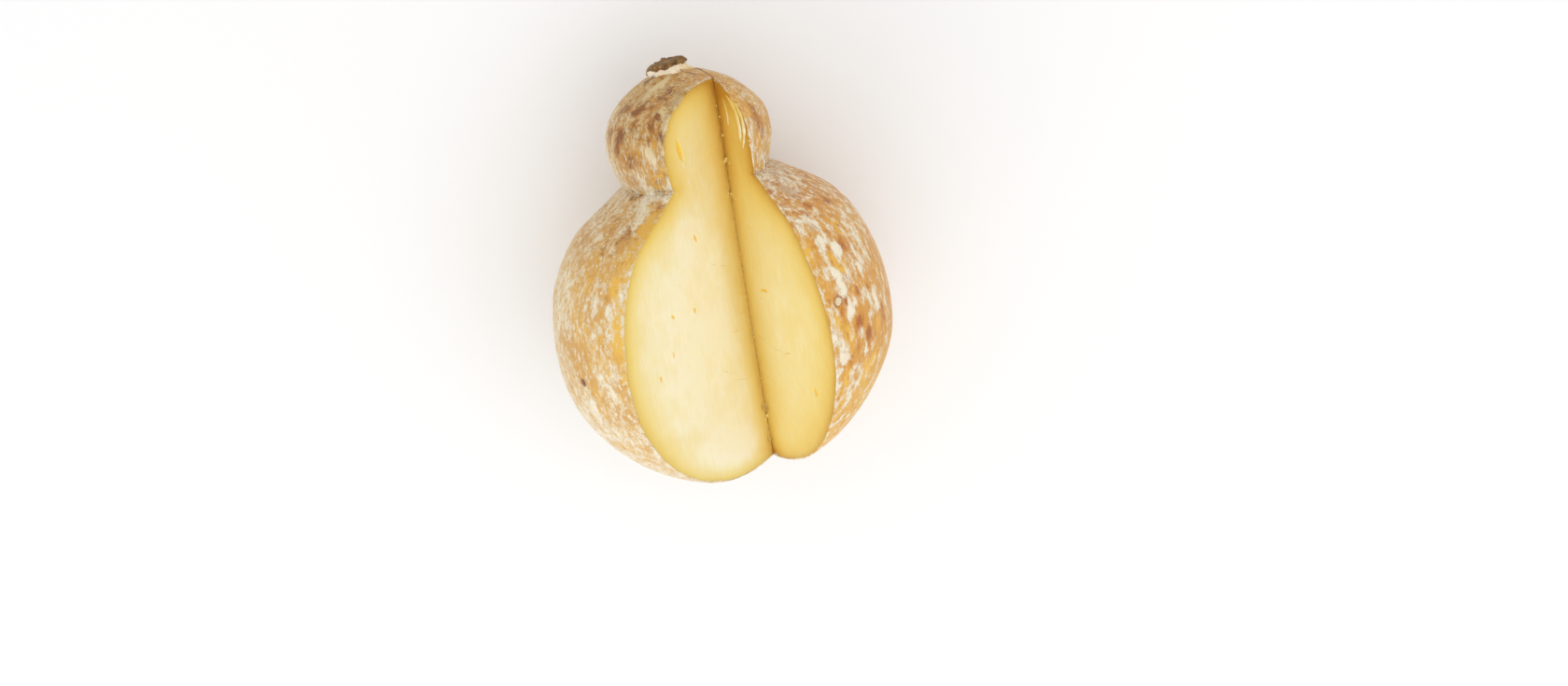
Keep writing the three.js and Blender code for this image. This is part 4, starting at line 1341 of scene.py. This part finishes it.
class PROVOLONE_OT_rind(bpy.types.Operator):
    """Builds the rind of the belly and of the head"""

    bl_idname = "provolone.rind"
    bl_label = "Rind"

    def execute(self, context):
        finish = rind_finish()
        heights, tilts = rows_down(*RIND_ROWS)
        crease = RIND_ROWS[0] + RIND_ROWS[1]
        parts = {
            "belly_rind": (slice(crease, None), BELLY_COLUMNS, False),
            "head_rind": (slice(0, crease + 1), HEAD_COLUMNS, True),
        }
        for name, (rows, columns, pole_first) in parts.items():
            fan = Fan(heights[rows], tilts[rows], turns_round(columns))
            points, faces, *skin = skin_shell(fan, pole_first)
            make_piece(name, points, faces, skin_marks(*skin), finish)
        return {"FINISHED"}


class PROVOLONE_OT_paste(bpy.types.Operator):
    """Builds the paste with its two cut faces"""

    bl_idname = "provolone.paste"
    bl_label = "Paste"

    def execute(self, context):
        points, faces, place = paste_shell()
        make_piece("paste", points, faces, paste_marks(points, place), paste_finish())
        return {"FINISHED"}


class PROVOLONE_OT_knob(bpy.types.Operator):
    """Builds the knob and its dry cap"""

    bl_idname = "provolone.knob"
    bl_label = "Knob"

    def execute(self, context):
        points, faces, own = knob_form(KNOB_SIDE, SIDE_COLUMNS, side_roughness)
        make_piece("knob_side", points, faces, knob_marks(own), knob_finish())
        points, faces, _ = knob_form(KNOB_CAP, CAP_COLUMNS, cap_roughness)
        make_piece("knob_cap", points, faces, {}, cap_finish())
        return {"FINISHED"}


class PROVOLONE_OT_curd(bpy.types.Operator):
    """Builds the crumbs beside the inner edge and the strips pulled up in the torn rim"""

    bl_idname = "provolone.curd"
    bl_label = "Crumbs and strips"

    def execute(self, context):
        finish = curd_finish()
        points, faces = joined([lump(*crumb, 90 + i) for i, crumb in enumerate(CRUMBS)])
        make_piece("crumbs", points, faces, {"golden": np.full(len(points), 0.5)}, finish)
        points, faces = joined([strip(*each) for each in STRIPS])
        golden = 0.08 + 0.75 * smooth(points[:, 1], 84.0, 101.0)
        make_piece("torn_strips", points, faces, {"golden": golden}, finish)
        return {"FINISHED"}


TILT, ROLL = np.radians(15.4906), np.radians(10.7392)
CAMERA_PLACE = np.array((24.3, 384.2, 1450.0))
SENSOR_WIDTH, CLIP_START, CLIP_END = 36.0, 0.05, 20.0
# The lights: name, place and size in metres
KEY_LIGHT = ("key_light", (0.35, -0.15, 1.3), 1.1)
FILL_LIGHT = ("fill_light", (-0.6, -0.9, 0.7), 1.0)


def camera_turn():
    """The camera's axes: it looks down, tilted towards the head's side and rolled."""
    right, up, back = np.array((
        (1.0, 0.0, 0.0), (0.0, np.cos(TILT), -np.sin(TILT)), (0.0, np.sin(TILT), np.cos(TILT)),
    ))
    across = np.cos(ROLL) * right - np.sin(ROLL) * up
    upward = np.sin(ROLL) * right + np.cos(ROLL) * up
    return Matrix(np.stack([across, upward, back], axis=1).tolist()).to_4x4()


def area_light(name, place, size, power):
    """A square light at a place in metres that faces the middle of the belly."""
    light = bpy.data.lights.new(name, "AREA")
    light.size, light.energy = size, power
    lamp = bpy.data.objects.new(name, light)
    lamp.location = place
    lamp.rotation_mode = "QUATERNION"
    lamp.rotation_quaternion = (Vector(MIDDLE * MM) - Vector(place)).to_track_quat("-Z", "Y")
    bpy.context.scene.collection.objects.link(lamp)


class PROVOLONE_OT_stage(bpy.types.Operator):
    """Builds the camera, the pale floor, the soft lights and the white surround"""

    bl_idname = "provolone.stage"
    bl_label = "Stage"

    def execute(self, context):
        scene, wanted = context.scene, context.scene.provolone_stage
        camera = bpy.data.objects.new("camera", bpy.data.cameras.new("camera"))
        camera.data.lens, camera.data.sensor_width = wanted.lens, SENSOR_WIDTH
        camera.data.clip_start, camera.data.clip_end = CLIP_START, CLIP_END
        camera.matrix_world = Matrix.Translation((CAMERA_PLACE + MIDDLE) * MM) @ camera_turn()
        scene.collection.objects.link(camera)
        scene.camera = camera

        half = wanted.floor_size / 2.0
        corners = [(-half, -half, 0.0), (half, -half, 0.0), (half, half, 0.0), (-half, half, 0.0)]
        mesh = bpy.data.meshes.new("floor")
        mesh.from_pydata(corners, [], [(0, 1, 2, 3)])
        mesh.materials.append(Finish("pale_floor").dress((*(wanted.floor_shade,) * 3, 1.0), 0.9))
        floor = bpy.data.objects.new("floor", mesh)
        scene.collection.objects.link(floor)

        area_light(*KEY_LIGHT, wanted.key_power)
        area_light(*FILL_LIGHT, wanted.fill_power)
        world = bpy.data.worlds.new("white_surround")
        world.use_nodes = True
        sky = world.node_tree.nodes["Background"]
        sky.inputs["Color"].default_value = (1.0, 1.0, 1.0, 1.0)
        sky.inputs["Strength"].default_value = wanted.sky
        scene.world = world
        scene.view_settings.view_transform = "Standard"
        return {"FINISHED"}


class PROVOLONE_PT_panel(bpy.types.Panel):
    """Lists the operators and the values that they use"""

    bl_idname = "PROVOLONE_PT_panel"
    bl_label = "Provolone"
    bl_space_type = "VIEW_3D"
    bl_region_type = "UI"
    bl_category = "Provolone"

    def draw(self, context):
        column = self.layout.column()
        for operator in OPERATORS:
            column.operator(operator.bl_idname)
        for group in (context.scene.provolone_colours, context.scene.provolone_stage):
            for name in type(group).__annotations__:
                column.prop(group, name)


OPERATORS = (PROVOLONE_OT_stage, PROVOLONE_OT_rind, PROVOLONE_OT_paste, PROVOLONE_OT_knob, PROVOLONE_OT_curd)
CLASSES = (ProvoloneColours, ProvoloneStage, *OPERATORS, PROVOLONE_PT_panel)


def register():
    for each in CLASSES:
        bpy.utils.register_class(each)
    bpy.types.Scene.provolone_colours = bpy.props.PointerProperty(type=ProvoloneColours)
    bpy.types.Scene.provolone_stage = bpy.props.PointerProperty(type=ProvoloneStage)


def unregister():
    del bpy.types.Scene.provolone_stage
    del bpy.types.Scene.provolone_colours
    for each in reversed(CLASSES):
        bpy.utils.unregister_class(each)


def main():
    register()
    bpy.ops.provolone.stage()
    bpy.ops.provolone.rind()
    bpy.ops.provolone.paste()
    bpy.ops.provolone.knob()
    bpy.ops.provolone.curd()


if __name__ == "__main__":
    main()
